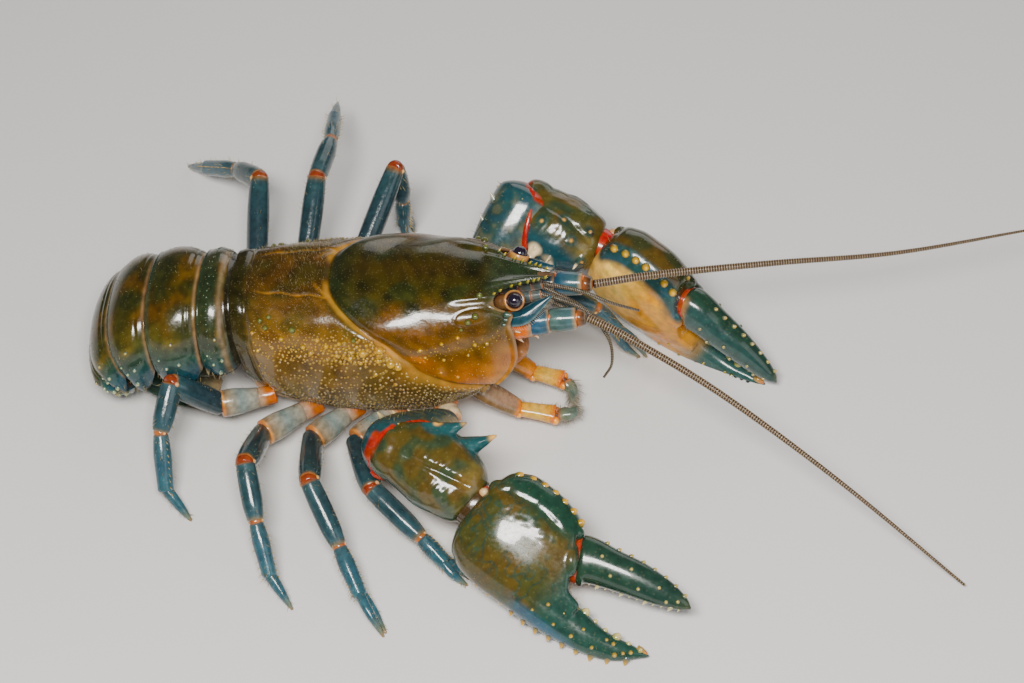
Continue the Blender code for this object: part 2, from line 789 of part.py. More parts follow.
def make_leg(side, number, route, pincer):
    sign = -1 if side == "right" else 1
    root = limb_root(route[0], sign)
    hip, knee, ankle, palm, tip = (vec(*p) for p in route[1:])
    outward = vec(0, sign, 0)
    hinge = unit(np.cross(knee - hip, ankle - knee))
    bend_hip = unit(unit(hip - root) + unit(knee - hip))
    bend_knee = unit(unit(knee - hip) + unit(ankle - knee))
    r = LEG_RADIUS
    stations = [
        (root, r * 0.92, r * 0.88),
        (lerp(root, hip, 0.45), r * 0.92, r * 0.88),
        (lerp(root, hip, 0.6), r * 0.78, r * 0.8),
        (hip, r * 0.86, r * 0.86),
        (lerp(hip, knee, 0.25), r * 0.85, r * 1.0),
        (lerp(hip, knee, 0.6), r * 0.95, r * 1.15),
        (knee - unit(knee - hip) * mitre_reach(r * 1.1, knee - hip, bend_knee), r, r * 1.1),
        (knee - bend_knee * HALF_GAP, r * 0.8, r * 0.85),
    ]
    normals = [outward, None, None, bend_hip, None, None, unit(knee - hip), bend_knee]
    make(f"leg_{number}_upper_{side}", [settle(tube(stations, hinge, 8, 2.2, normals))], LEG_BLUE)

    stations = [
        (knee + bend_knee * HALF_GAP, r * 0.75, r * 0.8),
        (knee + unit(ankle - knee) * mitre_reach(r * 0.95, ankle - knee, bend_knee), r * 0.85, r * 0.95),
        (lerp(knee, ankle, 0.85), r * 0.85, r * 0.95),
        (ankle, r * 0.65, r * 0.7),
        (lerp(ankle, palm, 0.15), r * 0.75, r * 0.8),
        (lerp(ankle, palm, 0.9), r * 0.6, r * 0.65),
    ]
    normals = [bend_knee] + [None] * 5
    if pincer:
        stations[-1] = (lerp(ankle, palm, 0.8), r * 0.75, r * 0.9)
        along = unit(tip - palm)
        across = unit(np.cross(hinge, along))
        spread = across * r * 0.55
        finger = [
            (lerp(ankle, palm, 0.6), r * 0.4, r * 0.4),
            (palm - spread, r * 0.42, r * 0.42),
            (lerp(palm, tip, 0.6) - spread, r * 0.3, r * 0.3),
            (tip - spread * 0.3, 0.3, 0.3),
        ]
        stations += [
            (palm + spread * 0.6, r * 0.5, r * 0.5),
            (lerp(palm, tip, 0.6) + spread, r * 0.32, r * 0.34),
            (tip + spread * 1.4, 0.3, 0.3),
        ]
        normals += [None] * 3
        pieces = [tube(stations, hinge, 8, 2.1, normals), tube(finger, hinge, 6, 2)]
    else:
        stations += [
            (palm, r * 0.5, r * 0.5),
            (lerp(palm, tip, 0.6), r * 0.35, r * 0.4),
            (tip, 0.34, 0.4),
        ]
        normals += [None] * 3
        pieces = [tube(stations, hinge, 8, 2.1, normals)]
    make(f"leg_{number}_lower_{side}", [settle(p) for p in pieces], LEG_BLUE)


def make_legs():
    for side, routes in LEG_ROUTES.items():
        for k, route in enumerate(routes):
            make_leg(side, k + 1, route, pincer=k < 2)


# Great claws

CLAW_ROOT_X = 36.0
CLAW_ARMS = {
    "right": {
        "hip": (40.4, -16.4, 9.4),
        "knee": (30.2, -30.6, 17.6),
        "wrist": (47.4, -39.0, 14.0),
        "tip": (82.0, -60.5, 1.4),
        "roll": 30.0,
        "carpus_turn": 0.0,
        "merus_girth": 1.0,
        "spines": 3,
        "gape": 0.0,
    },
    "left": {
        "hip": (39.8, 14.0, 8.8),
        "knee": (51.4, 31.5, 21.6),
        "wrist": (66.3, 24.6, 16.3),
        "tip": (98.0, 7.2, 2.0),
        "roll": 84.0,
        "carpus_turn": -98.0,
        "merus_girth": 1.12,
        "spines": 2,
        "gape": -20.0,
    },
}
HAND_STATIONS = (0.3, 1.3, 3.5, 9.0, 14.5, 19.0, 24.0, 27.0)
HAND_LATERAL = (-4.6, -7.6, -10.0, -11.2, -11.0, -10.6, -9.9, -9.2)
HAND_MEDIAL = (4.8, 8.2, 10.4, 11.7, 11.3, 10.0, 8.3, 7.0)
HAND_HALF_DEPTH = (3.6, 4.8, 5.8, 6.5, 6.3, 5.4, 4.4, 3.9)
FINGER_STATIONS = (14.0, 19.0, 24.0, 29.0, 34.0, 38.5, 41.4)
FINGER_LATERAL = (-10.6, -10.8, -10.3, -9.2, -7.8, -5.3, -2.2)
FINGER_MEDIAL = (-2.0, -1.6, -1.8, -2.1, -2.2, -1.2, -0.7)
FINGER_HALF_DEPTH = (4.6, 4.6, 4.0, 3.3, 2.5, 1.6, 0.7)
HINGE_MEDIAL = (17.8, 9.0)
HINGE_WEB = (23.4, -0.8)
DACTYL_STATIONS = (
    (25.2, 6.3, 4.2, 3.5), (31.4, 8.3, 3.6, 2.9), (37.0, 9.6, 2.7, 2.1), (41.0, 10.4, 1.4, 1.2),
)
DACTYL_TIP = (42.8, 10.7)


class HandFrame:
    """Claw frame: a runs from wrist to tip, t towards the dactyl and n out of the back."""

    def __init__(self, arm, sign):
        self.wrist = vec(*arm["wrist"])
        self.along = unit(vec(*arm["tip"]) - self.wrist)
        level = unit(np.cross(vec(0, 0, 1), self.along)) * -sign
        up = np.cross(self.along, level) * -sign
        roll = math.radians(arm["roll"])
        self.across = level * math.cos(roll) + up * math.sin(roll)
        self.out = up * math.cos(roll) - level * math.sin(roll)
        self.gape = math.radians(arm["gape"])

    def point(self, a, t, n=0.0):
        return self.wrist + a * self.along + t * self.across + n * self.out

    def swing(self, a, t, n=0.0):
        """A point of the dactyl, turned about its hinge by the gape."""
        pivot_a = (HINGE_MEDIAL[0] + HINGE_WEB[0]) / 2
        pivot_t = (HINGE_MEDIAL[1] + HINGE_WEB[1]) / 2
        c, s = math.cos(self.gape), math.sin(self.gape)
        da, dt = a - pivot_a, t - pivot_t
        return self.point(pivot_a + c * da - s * dt, pivot_t + s * da + c * dt, n)


def slab(frame, a, lateral, medial, half_depth, sides=14, power=2.3):
    """One section of the claw, from its lateral to its medial edge."""
    centre = frame.point(a, (lateral + medial) / 2)
    return oval(centre, frame.across, frame.out, (medial - lateral) / 2, half_depth, sides, power)


def hand_cutter(frame):
    """A block beyond the dactyl's hinge face."""
    face = np.array(HINGE_WEB) - np.array(HINGE_MEDIAL)
    face = face / np.linalg.norm(face)
    corner = np.array(HINGE_MEDIAL) - face * 8
    web = np.array(HINGE_WEB) + face * 0.4
    outline = [corner, web, web + (18.0, -3.0), corner + (24.0, 0.0)]
    reach = 2 * max(HAND_HALF_DEPTH)
    low = [frame.point(a, t, -reach) for a, t in outline]
    high = [frame.point(a, t, reach) for a, t in outline]
    return loft([low, high])


def claw_spines(frame):
    grown = []
    for k in range(7):
        a = 2.6 + 2.35 * k
        edge = np.interp(a, HAND_STATIONS, HAND_MEDIAL)
        for n, lean in ((1.7, 0.45), (-1.9, -0.4)):
            root = frame.point(a + 0.5 * (n > 0), edge - 0.5, n)
            grown.append(cone(root, frame.across + lean * frame.out + 0.35 * frame.along, 1.35, 0.8))
    for k in range(11):
        a = 6.0 + 3.0 * k
        if a > FINGER_STATIONS[0]:
            edge = np.interp(a, FINGER_STATIONS, FINGER_LATERAL)
        else:
            edge = np.interp(a, HAND_STATIONS, HAND_LATERAL)
        root = frame.point(a, edge + 0.4, 0.6)
        grown.append(cone(root, -frame.across + 0.4 * frame.out + 0.3 * frame.along, 1.0, 0.65))
    for k in range(4):
        a = 26.0 + 3.4 * k
        edge = np.interp(a, FINGER_STATIONS, FINGER_MEDIAL)
        grown.append(cone(frame.point(a, edge - 0.4, 0.2), frame.across, 0.85, 0.8))
    return grown


def dactyl_spines(frame):
    grown = []
    for k in range(6):
        a = 22.6 + 3.1 * k
        t = np.interp(a, (20, 25.2, 31.4, 37.0, 41.0), (9.6, 10.5, 11.9, 12.3, 11.8))
        aim = frame.swing(a + 1, t + 2.4, 0.8) - frame.swing(a, t, 0)
        grown.append(cone(frame.swing(a, t - 0.5, 0.5), aim, 1.05, 0.65))
    for k in range(4):
        a = 27.5 + 3.3 * k
        t = np.interp(a, (25.2, 31.4, 37.0, 41.0), (2.1, 4.7, 6.8, 8.7))
        aim = frame.swing(a, t - 1) - frame.swing(a, t)
        grown.append(cone(frame.swing(a, t + 0.45, 0.2), aim, 0.8, 0.75))
    return grown


def make_hand(side, arm, frame):
    hand = loft([slab(frame, *s) for s in zip(HAND_STATIONS, HAND_LATERAL, HAND_MEDIAL, HAND_HALF_DEPTH)])
    finger_sections = zip(FINGER_STATIONS, FINGER_LATERAL, FINGER_MEDIAL, FINGER_HALF_DEPTH)
    finger_rings = [slab(frame, *section, sides=10) for section in finger_sections]
    finger_rings.append([frame.point(CLAW_LENGTH, -0.6)])
    palm = fuse(mesh_from([hand], "palm"))
    cut(palm, mesh_from([hand_cutter(frame)], "palm_cutter")[0])
    verts = [np.array(v.co) for v in palm.data.vertices]
    faces = [tuple(p.vertices) for p in palm.data.polygons]
    drop(palm)
    pieces = [(verts, faces), loft(finger_rings)] + claw_spines(frame)
    make(f"claw_hand_{side}", pieces, CLAW_GREEN, cutters=[floor_block(frame.wrist, CLAW_LENGTH * 1.2)])

    face = unit(frame.swing(*HINGE_WEB) - frame.swing(*HINGE_MEDIAL))
    rise = frame.out
    normal = unit(np.cross(face, rise))
    if np.dot(normal, frame.along) < 0:
        normal = -normal
    middle = lerp(frame.point(*HINGE_MEDIAL), frame.point(*HINGE_WEB), 0.5)
    level_face = unit(frame.point(*HINGE_WEB) - frame.point(*HINGE_MEDIAL))
    level_normal = unit(np.cross(level_face, rise))
    if np.dot(level_normal, frame.along) < 0:
        level_normal = -level_normal
    rings = [
        oval(middle + level_normal * GAP, -level_face, rise, 4.4, 3.1, 10, 2.3),
        oval(middle + unit(level_normal + normal) * 2.0, -unit(level_face + face), rise, 4.7, 3.7, 10, 2.3),
    ]
    for a, t, half_width, half_depth in DACTYL_STATIONS:
        centre = frame.swing(a, t)
        across = unit(frame.swing(a, t + 1) - centre)
        rings.append(oval(centre, across, rise, half_width, half_depth, 10, 2.3))
    rings.append([frame.swing(*DACTYL_TIP)])
    pieces = [loft(rings)] + dactyl_spines(frame)
    make(f"claw_dactyl_{side}", pieces, CLAW_GREEN)


def floor_block(middle, reach):
    """A block under the floor, which trims what would sink below it."""
    corners = ((-1, -1), (1, -1), (1, 1), (-1, 1))
    low = [vec(middle[0] + u * reach, middle[1] + v * reach, -reach) for u, v in corners]
    high = [vec(p[0], p[1], 0) for p in low]
    return loft([low, high])


def carpus_axes(arm, frame):
    along = unit(frame.wrist - vec(*arm["knee"]))
    across, out = cross_axes(along, frame.across)
    if np.dot(out, frame.out) < 0:
        out = -out
    turn = math.radians(arm["carpus_turn"])
    wide = across * math.cos(turn) + out * math.sin(turn)
    return along, wide, out * math.cos(turn) - across * math.sin(turn)


# Share of the way to the wrist, shift of the middle towards the dactyl side, half width, half height
CARPUS_SECTIONS = ((0.12, 1.0, 6.0, 5.0), (0.4, 1.9, 7.6, 5.9), (0.7, 1.3, 7.2, 5.8), (0.91, 0.3, 5.6, 4.8))


def carpus_piece(arm, frame, grow=0.0):
    knee, wrist = vec(*arm["knee"]), frame.wrist
    along, wide, high = carpus_axes(arm, frame)
    joint = unit(along + frame.along)
    stations = [
        (knee - along * (2.4 + grow), 2.2 + grow, 2.0 + grow),
        (knee - along * 1.2, 4.2 + grow, 3.8 + grow),
    ]
    for share, shift, half_width, half_height in CARPUS_SECTIONS:
        stations.append((lerp(knee, wrist, share) + wide * shift, half_width + grow, half_height + grow))
    stations.append((wrist - joint * HALF_GAP, 4.2 + grow, 3.6 + grow))
    return tube(stations, wide, 12, 2.2, [along] * 6 + [joint])


# Share of the way to the wrist, height above the middle, length and radius of the mesial spines
MESIAL_SPINES = ((0.2, 2.2, 2.8, 1.5), (0.4, 1.6, 4.2, 1.9), (0.64, 0.8, 6.4, 2.5))


def carpus_spines(arm, frame, grow=0.0):
    knee, wrist = vec(*arm["knee"]), frame.wrist
    along, wide, high = carpus_axes(arm, frame)
    shares = [0.0] + [section[0] for section in CARPUS_SECTIONS] + [1.0]
    edges = [4.6] + [section[1] + section[2] for section in CARPUS_SECTIONS] + [4.2]
    grown = []
    for share, rise, length, radius in MESIAL_SPINES[-arm["spines"] :]:
        root = lerp(knee, wrist, share) + wide * (np.interp(share, shares, edges) - 0.9) + high * rise
        aim = wide + 0.75 * along + 0.12 * high
        grown.append(cone(root, aim, length + 0.6 + grow, radius + grow, sides=7, sunk=1.2 + grow))
    for share, turn in ((0.3, 60), (0.5, 85), (0.7, 60), (0.82, 95), (0.6, -55)):
        a = math.radians(turn)
        out = wide * math.cos(a) + high * math.sin(a)
        root = lerp(knee, wrist, share) + wide * 1.2 + out * 5.5
        grown.append(cone(root, out + 0.3 * along, 1.0 + grow, 0.8 + grow, sunk=0.8 + grow))
    return grown


def make_arm(side, arm):
    sign = -1 if side == "right" else 1
    frame = HandFrame(arm, sign)
    root = limb_root(CLAW_ROOT_X, sign)
    hip, knee = vec(*arm["hip"]), vec(*arm["knee"])
    bend = unit(unit(hip - root) + unit(knee - hip))
    outward = vec(0, sign, 0)
    stations = [
        (root, 2.3, 2.1),
        (lerp(root, hip, 0.3), 2.4, 2.2),
        (lerp(root, hip, 0.45), 2.2, 2.0),
        (hip - unit(hip - root) * mitre_reach(2.6, hip - root, bend), 2.7, 2.4),
        (hip - bend * HALF_GAP, 2.6, 2.4),
    ]
    hinge = unit(np.cross(knee - hip, frame.wrist - knee))
    normals = [outward, None, None, None, bend]
    make(f"claw_ischium_{side}", [tube(stations, hinge, 10, 2.2, normals)], LEG_PALE)

    girth = arm["merus_girth"]
    stations = [
        (hip + bend * HALF_GAP, 2.5, 2.3),
        (hip + unit(knee - hip) * mitre_reach(3.4, knee - hip, bend), 3.4, 3.2),
        (lerp(hip, knee, 0.45), 4.8 * girth, 4.6 * girth),
        (lerp(hip, knee, 0.8), 5.9 * girth, 5.7 * girth),
        (lerp(hip, knee, 1.02), 5.7 * girth, 5.5 * girth),
        (lerp(hip, knee, 1.14), 3.0, 3.0),
    ]
    normals = [bend] + [None] * 5
    grown = []
    along = unit(knee - hip)
    wide, high = cross_axes(along, hinge)
    back = high if np.dot(high, frame.along) < 0 else -high
    for share, length in ((0.45, 1.2), (0.65, 1.5), (0.86, 2.0)):
        for lean in (-0.6, 0.6):
            out = unit(back + lean * wide)
            grown.append(cone(lerp(hip, knee, share) + out * 4.2, out + 0.4 * along, length, 0.9))
    cutters = [carpus_piece(arm, frame, grow=GAP)] + carpus_spines(arm, frame, grow=GAP)
    pieces = [tube(stations, hinge, 12, 2.2, normals)] + grown
    make(f"claw_merus_{side}", pieces, CLAW_GREEN, cutters=cutters)
    make(f"claw_carpus_{side}", [carpus_piece(arm, frame)] + carpus_spines(arm, frame), CLAW_GREEN)
    make_hand(side, arm, frame)


def clear_scene():
    for obj in list(bpy.data.objects):
        bpy.data.objects.remove(obj, do_unlink=True)


def centre_on_floor():
    """Put the origin at the bottom centre of the whole animal and change to metres."""
    solids = [o for o in bpy.data.objects if o.type == "MESH"]
    corners = np.array([v.co for o in solids for v in o.data.vertices])
    low, high = corners.min(axis=0), corners.max(axis=0)
    shift = np.array(((low[0] + high[0]) / 2, (low[1] + high[1]) / 2, low[2]))
    for obj in solids:
        for vert in obj.data.vertices:
            vert.co = (np.array(vert.co) - shift) * MM


def build():
    clear_scene()
    make_carapace()
    make_thorax_underside()
    make_abdomen()
    make_tail_fan()
    make_eyes()
    make_feelers()
    make_mouth()
    make_legs()
    for side, arm in CLAW_ARMS.items():
        make_arm(side, arm)
    centre_on_floor()


build()
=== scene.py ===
"""Looks of the alpine spiny crayfish: wet, speckled shell on a pale studio floor.

Sizes are millimetres in the frame that the animal was laid out in: +X forward, +Y to its
left, floor at z = 0. Piece.build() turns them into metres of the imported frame.
"""

import json
import math

import bpy
import numpy as np
from mathutils import Matrix, Vector

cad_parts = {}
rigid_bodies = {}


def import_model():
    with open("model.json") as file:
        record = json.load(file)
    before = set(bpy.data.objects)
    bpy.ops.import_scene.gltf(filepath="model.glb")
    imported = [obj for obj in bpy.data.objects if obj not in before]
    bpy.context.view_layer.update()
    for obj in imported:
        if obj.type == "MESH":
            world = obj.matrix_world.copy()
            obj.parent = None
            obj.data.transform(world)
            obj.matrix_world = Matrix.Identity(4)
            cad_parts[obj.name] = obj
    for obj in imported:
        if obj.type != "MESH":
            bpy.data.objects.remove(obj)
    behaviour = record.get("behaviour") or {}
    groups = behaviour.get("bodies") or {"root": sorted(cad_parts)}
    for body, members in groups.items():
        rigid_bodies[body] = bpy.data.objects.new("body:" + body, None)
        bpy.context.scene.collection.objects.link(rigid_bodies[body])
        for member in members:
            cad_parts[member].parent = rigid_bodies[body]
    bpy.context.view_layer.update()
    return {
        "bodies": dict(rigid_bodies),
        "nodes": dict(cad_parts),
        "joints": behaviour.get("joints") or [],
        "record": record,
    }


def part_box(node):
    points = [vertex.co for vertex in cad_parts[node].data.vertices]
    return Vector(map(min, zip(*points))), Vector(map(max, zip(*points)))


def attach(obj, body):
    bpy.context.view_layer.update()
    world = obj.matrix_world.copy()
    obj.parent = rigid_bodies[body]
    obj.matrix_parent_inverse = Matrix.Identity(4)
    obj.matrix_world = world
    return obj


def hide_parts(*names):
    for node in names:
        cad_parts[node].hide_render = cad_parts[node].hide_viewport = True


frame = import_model()

# Driving sizes, the same as those of the solids
SHELL_PITCH = 10.5
SHELL_LIFT = 22.0
MIDLINE_Y = -2.5
FAN_ROOT_X = -20.0
TELSON_UNDER_Z = 5.9

telson_low, telson_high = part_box("telson")
ORIGIN = np.array(
    (
        FAN_ROOT_X - telson_low.x * 1000, MIDLINE_Y - (telson_low.y + telson_high.y) * 500,
        TELSON_UNDER_Z - telson_low.z * 1000,
    )
)
rng = np.random.default_rng(5)
SIDES = (("right", -1), ("left", 1))
FLOOR = (-np.inf, -np.inf, 0.0)

# Colours, thousandths of linear RGB
TEAL = (18, 85, 85)
GREY_TAN = (200, 130, 60)


def vec(*p):
    return np.array(p, float)


def unit(a):
    a = np.asarray(a, float)
    return a / np.maximum(np.linalg.norm(a, axis=-1, keepdims=True), 1e-9)


def lerp(a, b, s):
    return a + (b - a) * s


def step(x, low, high):
    """Smooth rise from 0 at low to 1 at high."""
    s = np.clip((np.asarray(x, float) - low) / (high - low), 0, 1)
    return s * s * (3 - 2 * s)


def fall(x, low, high):
    """Smooth drop from 1 at low to 0 at high."""
    return 1 - step(x, low, high)


def peak(x, middle, width):
    return np.exp(-(((np.asarray(x, float) - middle) / width) ** 2))


def spline(x, knots, values):
    """Smooth curve through a few knots; the values are numbers or points."""
    knots = np.asarray(knots, float)
    values = np.asarray(values, float)
    x = np.clip(np.asarray(x, float), knots[0], knots[-1])
    slope = np.gradient(values, knots, axis=0)
    i = np.clip(np.searchsorted(knots, x, side="right") - 1, 0, len(knots) - 2)
    h = knots[i + 1] - knots[i]
    s = (x - knots[i]) / h
    if values.ndim > 1:
        s, h = s[..., None], h[..., None]
    rise = values[i] * (1 + 2 * s) * (1 - s) ** 2 + values[i + 1] * s * s * (3 - 2 * s)
    return rise + slope[i] * h * s * (1 - s) ** 2 + slope[i + 1] * h * s * s * (s - 1)


def ramp(x, *stops):
    """Colour along x through (position, colour) stops."""
    x = np.asarray(x, float)
    places = [s[0] for s in stops]
    return np.stack([np.interp(x, places, [s[1][k] for s in stops]) for k in range(3)], -1)


def mix(a, b, share):
    share = np.asarray(share, float)[..., None]
    return np.asarray(a, float) * (1 - share) + np.asarray(b, float) * share


def cloud(points, size, seed=0):
    """Smooth random field over points, mostly within -1.5 to 1.5, with patches of this size."""
    draw = np.random.default_rng(seed)
    total = 0
    for _ in range(14):
        wave = unit(draw.normal(size=3)) * draw.uniform(1.4, 3.2) / size
        total = total + np.sin(np.asarray(points) @ wave * 2 + draw.uniform(0, 6.28))
    return total / 2.7


def signed_power(value, power):
    return np.sign(value) * np.abs(value) ** power


def turns(count):
    """Angles evenly spaced round a circle."""
    return np.arange(count) * 2 * math.pi / count


def body(x, y, z):
    """A point of the carapace's own frame, in the frame of the floor."""
    p = math.radians(SHELL_PITCH)
    x, y, z = np.broadcast_arrays(*(np.asarray(v, float) for v in (x, y, z)))
    return np.stack(
        (x * math.cos(p) - z * math.sin(p), MIDLINE_Y + y, SHELL_LIFT + x * math.sin(p) + z * math.cos(p)),
        -1,
    )


FORWARD = body(1, 0, 0) - body(0, 0, 0)


# Pieces: closed meshes with a colour at every point


class Piece:
    def __init__(self):
        self.points = []
        self.tints = []
        self.quads = []
        self.tris = []
        self.count = 0

    def add(self, points, quads, tris, tint):
        points = np.asarray(points, float)
        if len(quads):
            self.quads.append(np.asarray(quads, int) + self.count)
        if len(tris):
            self.tris.append(np.asarray(tris, int) + self.count)
        self.points.append(points)
        self.tints.append(np.broadcast_to(np.asarray(tint, float), points.shape))
        self.count += len(points)

    def grid(self, grid, tint):
        """A closed tube of rings of points, shut at both ends."""
        n, m = grid.shape[:2]
        tint = np.broadcast_to(np.asarray(tint, float), grid.shape)
        centres = np.stack((grid[0].mean(0), grid[-1].mean(0)))
        ends = np.stack((tint[0].mean(0), tint[-1].mean(0)))
        row = np.arange(n - 1)[:, None] * m
        col = np.arange(m)[None]
        after = (col + 1) % m
        quads = np.stack((row + col, row + after, row + m + after, row + m + col), -1).reshape(-1, 4)
        first = np.stack((np.full(m, n * m), after[0], col[0]), -1)
        last = np.stack((np.full(m, n * m + 1), (n - 1) * m + col[0], (n - 1) * m + after[0]), -1)
        tris = np.concatenate((first, last))
        points = np.concatenate((grid.reshape(-1, 3), centres))
        a, b, c = (points[quads[:, k]] for k in (0, 1, 2))
        d = points[quads[:, 3]]
        volume = np.einsum("ij,ij->i", a, np.cross(b, c) + np.cross(c, d)).sum()
        if volume < 0:
            quads, tris = quads[:, ::-1], tris[:, ::-1]
        self.add(points, quads, tris, np.concatenate((tint.reshape(-1, 3), ends)))

    def studs(self, roots, aims, heights, radii, base, tip, profile, sides=6):
        """Spines, domes or bristles: a ring for each (height share, radius share), then a tip."""
        roots, aims = np.atleast_2d(roots), unit(np.atleast_2d(aims))
        count = len(roots)
        heights = np.broadcast_to(np.asarray(heights, float), count)
        radii = np.broadcast_to(np.asarray(radii, float), count)
        helper = np.where(np.abs(aims[:, 2:]) < 0.9, vec(0, 0, 1), vec(1, 0, 0))
        u = unit(np.cross(aims, helper))
        v = np.cross(aims, u)
        around = turns(sides)
        rings = []
        cos, sin = np.cos(around)[None, :, None], np.sin(around)[None, :, None]
        for up, out in profile:
            circle = u[:, None] * cos + v[:, None] * sin
            centre = roots + aims * (heights * up)[:, None]
            rings.append(centre[:, None] + circle * (radii * out)[:, None, None])
        tops = roots + aims * heights[:, None]
        points = np.concatenate([np.concatenate(rings, 1), tops[:, None]], 1)
        each = len(profile) * sides + 1
        quads, tris = [], []
        for r in range(len(profile) - 1):
            for k in range(sides):
                m = (k + 1) % sides
                quads.append((r * sides + k, r * sides + m, (r + 1) * sides + m, (r + 1) * sides + k))
        for k in range(sides):
            m = (k + 1) % sides
            tris.append(((len(profile) - 1) * sides + k, (len(profile) - 1) * sides + m, each - 1))
            if k > 1:
                tris.append((0, k, k - 1))
        shift = (np.arange(count) * each)[:, None, None]
        base = np.broadcast_to(np.asarray(base, float), (count, 3))[:, None]
        tip = np.broadcast_to(np.asarray(tip, float), (count, 3))[:, None]
        share = np.array([max(up, 0) for up, _ in profile for _ in range(sides)] + [1.0]) ** 1.5
        share = share[None, :, None]
        tints = base * (1 - share) + tip * share
        quads = (np.array(quads)[None] + shift).reshape(-1, 4)
        tris = (np.array(tris)[None] + shift).reshape(-1, 3)
        self.add(points.reshape(-1, 3), quads, tris, tints.reshape(-1, 3))

    def object(self, name, scale=1.0, shift=(0, 0, 0)):
        points = (np.concatenate(self.points) - shift) * scale
        quads = np.concatenate(self.quads) if self.quads else np.zeros((0, 4), int)
        tris = np.concatenate(self.tris) if self.tris else np.zeros((0, 3), int)
        mesh = bpy.data.meshes.new(name)
        mesh.vertices.add(len(points))
        mesh.vertices.foreach_set("co", points.ravel())
        mesh.loops.add(quads.size + tris.size)
        mesh.loops.foreach_set("vertex_index", np.concatenate((quads.ravel(), tris.ravel())))
        mesh.polygons.add(len(quads) + len(tris))
        starts = np.concatenate((np.arange(len(quads)) * 4, quads.size + np.arange(len(tris)) * 3))
        mesh.polygons.foreach_set("loop_start", starts)
        mesh.update(calc_edges=True)
        mesh.validate()
        obj = bpy.data.objects.new(name, mesh)
        bpy.context.scene.collection.objects.link(obj)
        return obj

    def build(self, name, finish, slot, *nodes):
        """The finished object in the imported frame, standing for the named nodes."""
        self.points = [np.maximum(p, FLOOR) for p in self.points]
        obj = self.object(name, 0.001, ORIGIN)
        tints = np.concatenate(self.tints) * 0.001
        layer = obj.data.attributes.new("tint", "FLOAT_COLOR", "POINT")
        layer.data.foreach_set("color", np.concatenate((tints, np.ones((len(tints), 1))), 1).ravel())
        obj.data.materials.append(finish)
        obj.data.shade_smooth()
        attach(obj, "root")
        if nodes:
            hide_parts(*nodes)


SPINE = ((-0.3, 1.0), (0.05, 0.92), (0.35, 0.62), (0.7, 0.28), (0.9, 0.1))
DOME = ((-0.4, 1.0), (0.2, 0.95), (0.6, 0.72), (0.9, 0.36))
BEAD = ((-0.4, 1.0), (0.45, 0.82))
BRISTLE = ((-0.1, 1.0), (0.55, 0.55))


def tube(centres, half_width, half_height, side, sides=24, power=2.2):
    """Rings of a superellipse along a path, with the widths and heights given at each point."""
    centres = np.asarray(centres, float)
    tangent = unit(np.gradient(centres, axis=0))
    side = np.broadcast_to(np.asarray(side, float), centres.shape)
    wide = unit(side - tangent * np.sum(side * tangent, -1, keepdims=True))
    high = np.cross(tangent, wide)
    a = turns(sides)
    u = signed_power(np.cos(a), 2 / power)[None, :, None] * np.asarray(half_width)[:, None, None]
    v = signed_power(np.sin(a), 2 / power)[None, :, None] * np.asarray(half_height)[:, None, None]
    return centres[:, None] + u * wide[:, None] + v * high[:, None]


def limb(stations, side, rings=40, sides=24, power=2.2, start_round=0.6, end_round=0.6):
    """Smooth tube through (point, half width, half height) stations, rounded off at its ends."""
    points = np.array([s[0] for s in stations], float)
    sizes = np.array([s[1:3] for s in stations], float)
    reach = np.concatenate(((0,), np.cumsum(np.linalg.norm(np.diff(points, axis=0), axis=1))))
    total = reach[-1]
    s = np.linspace(0, 1, rings)
    t = total * (s - 0.06 * np.sin(2 * math.pi * s))
    trim = np.sqrt(np.clip(1 - np.clip(1 - t / max(start_round, 1e-3), 0, 1) ** 2, 0.0004, 1))
    to_end = np.clip(1 - (total - t) / max(end_round, 1e-3), 0, 1)
    trim = trim * np.sqrt(np.clip(1 - to_end ** 2, 0.0004, 1))
    size = spline(t, reach, sizes) * trim[:, None]
    grid = tube(spline(t, reach, points), size[:, 0], size[:, 1], side, sides, power)
    return grid, t / total


def normals_of(grid):
    along = np.gradient(grid, axis=0)
    around = np.roll(grid, -1, 1) - np.roll(grid, 1, 1)
    normal = unit(np.cross(along, around))
    outward = np.sum(normal * (grid - grid.mean(1, keepdims=True)), -1).sum()
    return normal * (1 if outward > 0 else -1)


def scatter(piece, grid, count, rows, height, radius, base, tip, profile, sides, lean=(0, 0, 0)):
    """Studs at random places between two ring shares of a tube."""
    n, m = grid.shape[:2]
    i = (rng.uniform(*rows, count) * (n - 1)).astype(int)
    j = rng.integers(0, m, count)
    aims = normals_of(grid)[i, j] + np.asarray(lean)
    size = rng.uniform(0.7, 1.3, count)
    piece.studs(grid[i, j], aims, height * size, radius * size, base, tip, profile, sides)


# Finishes


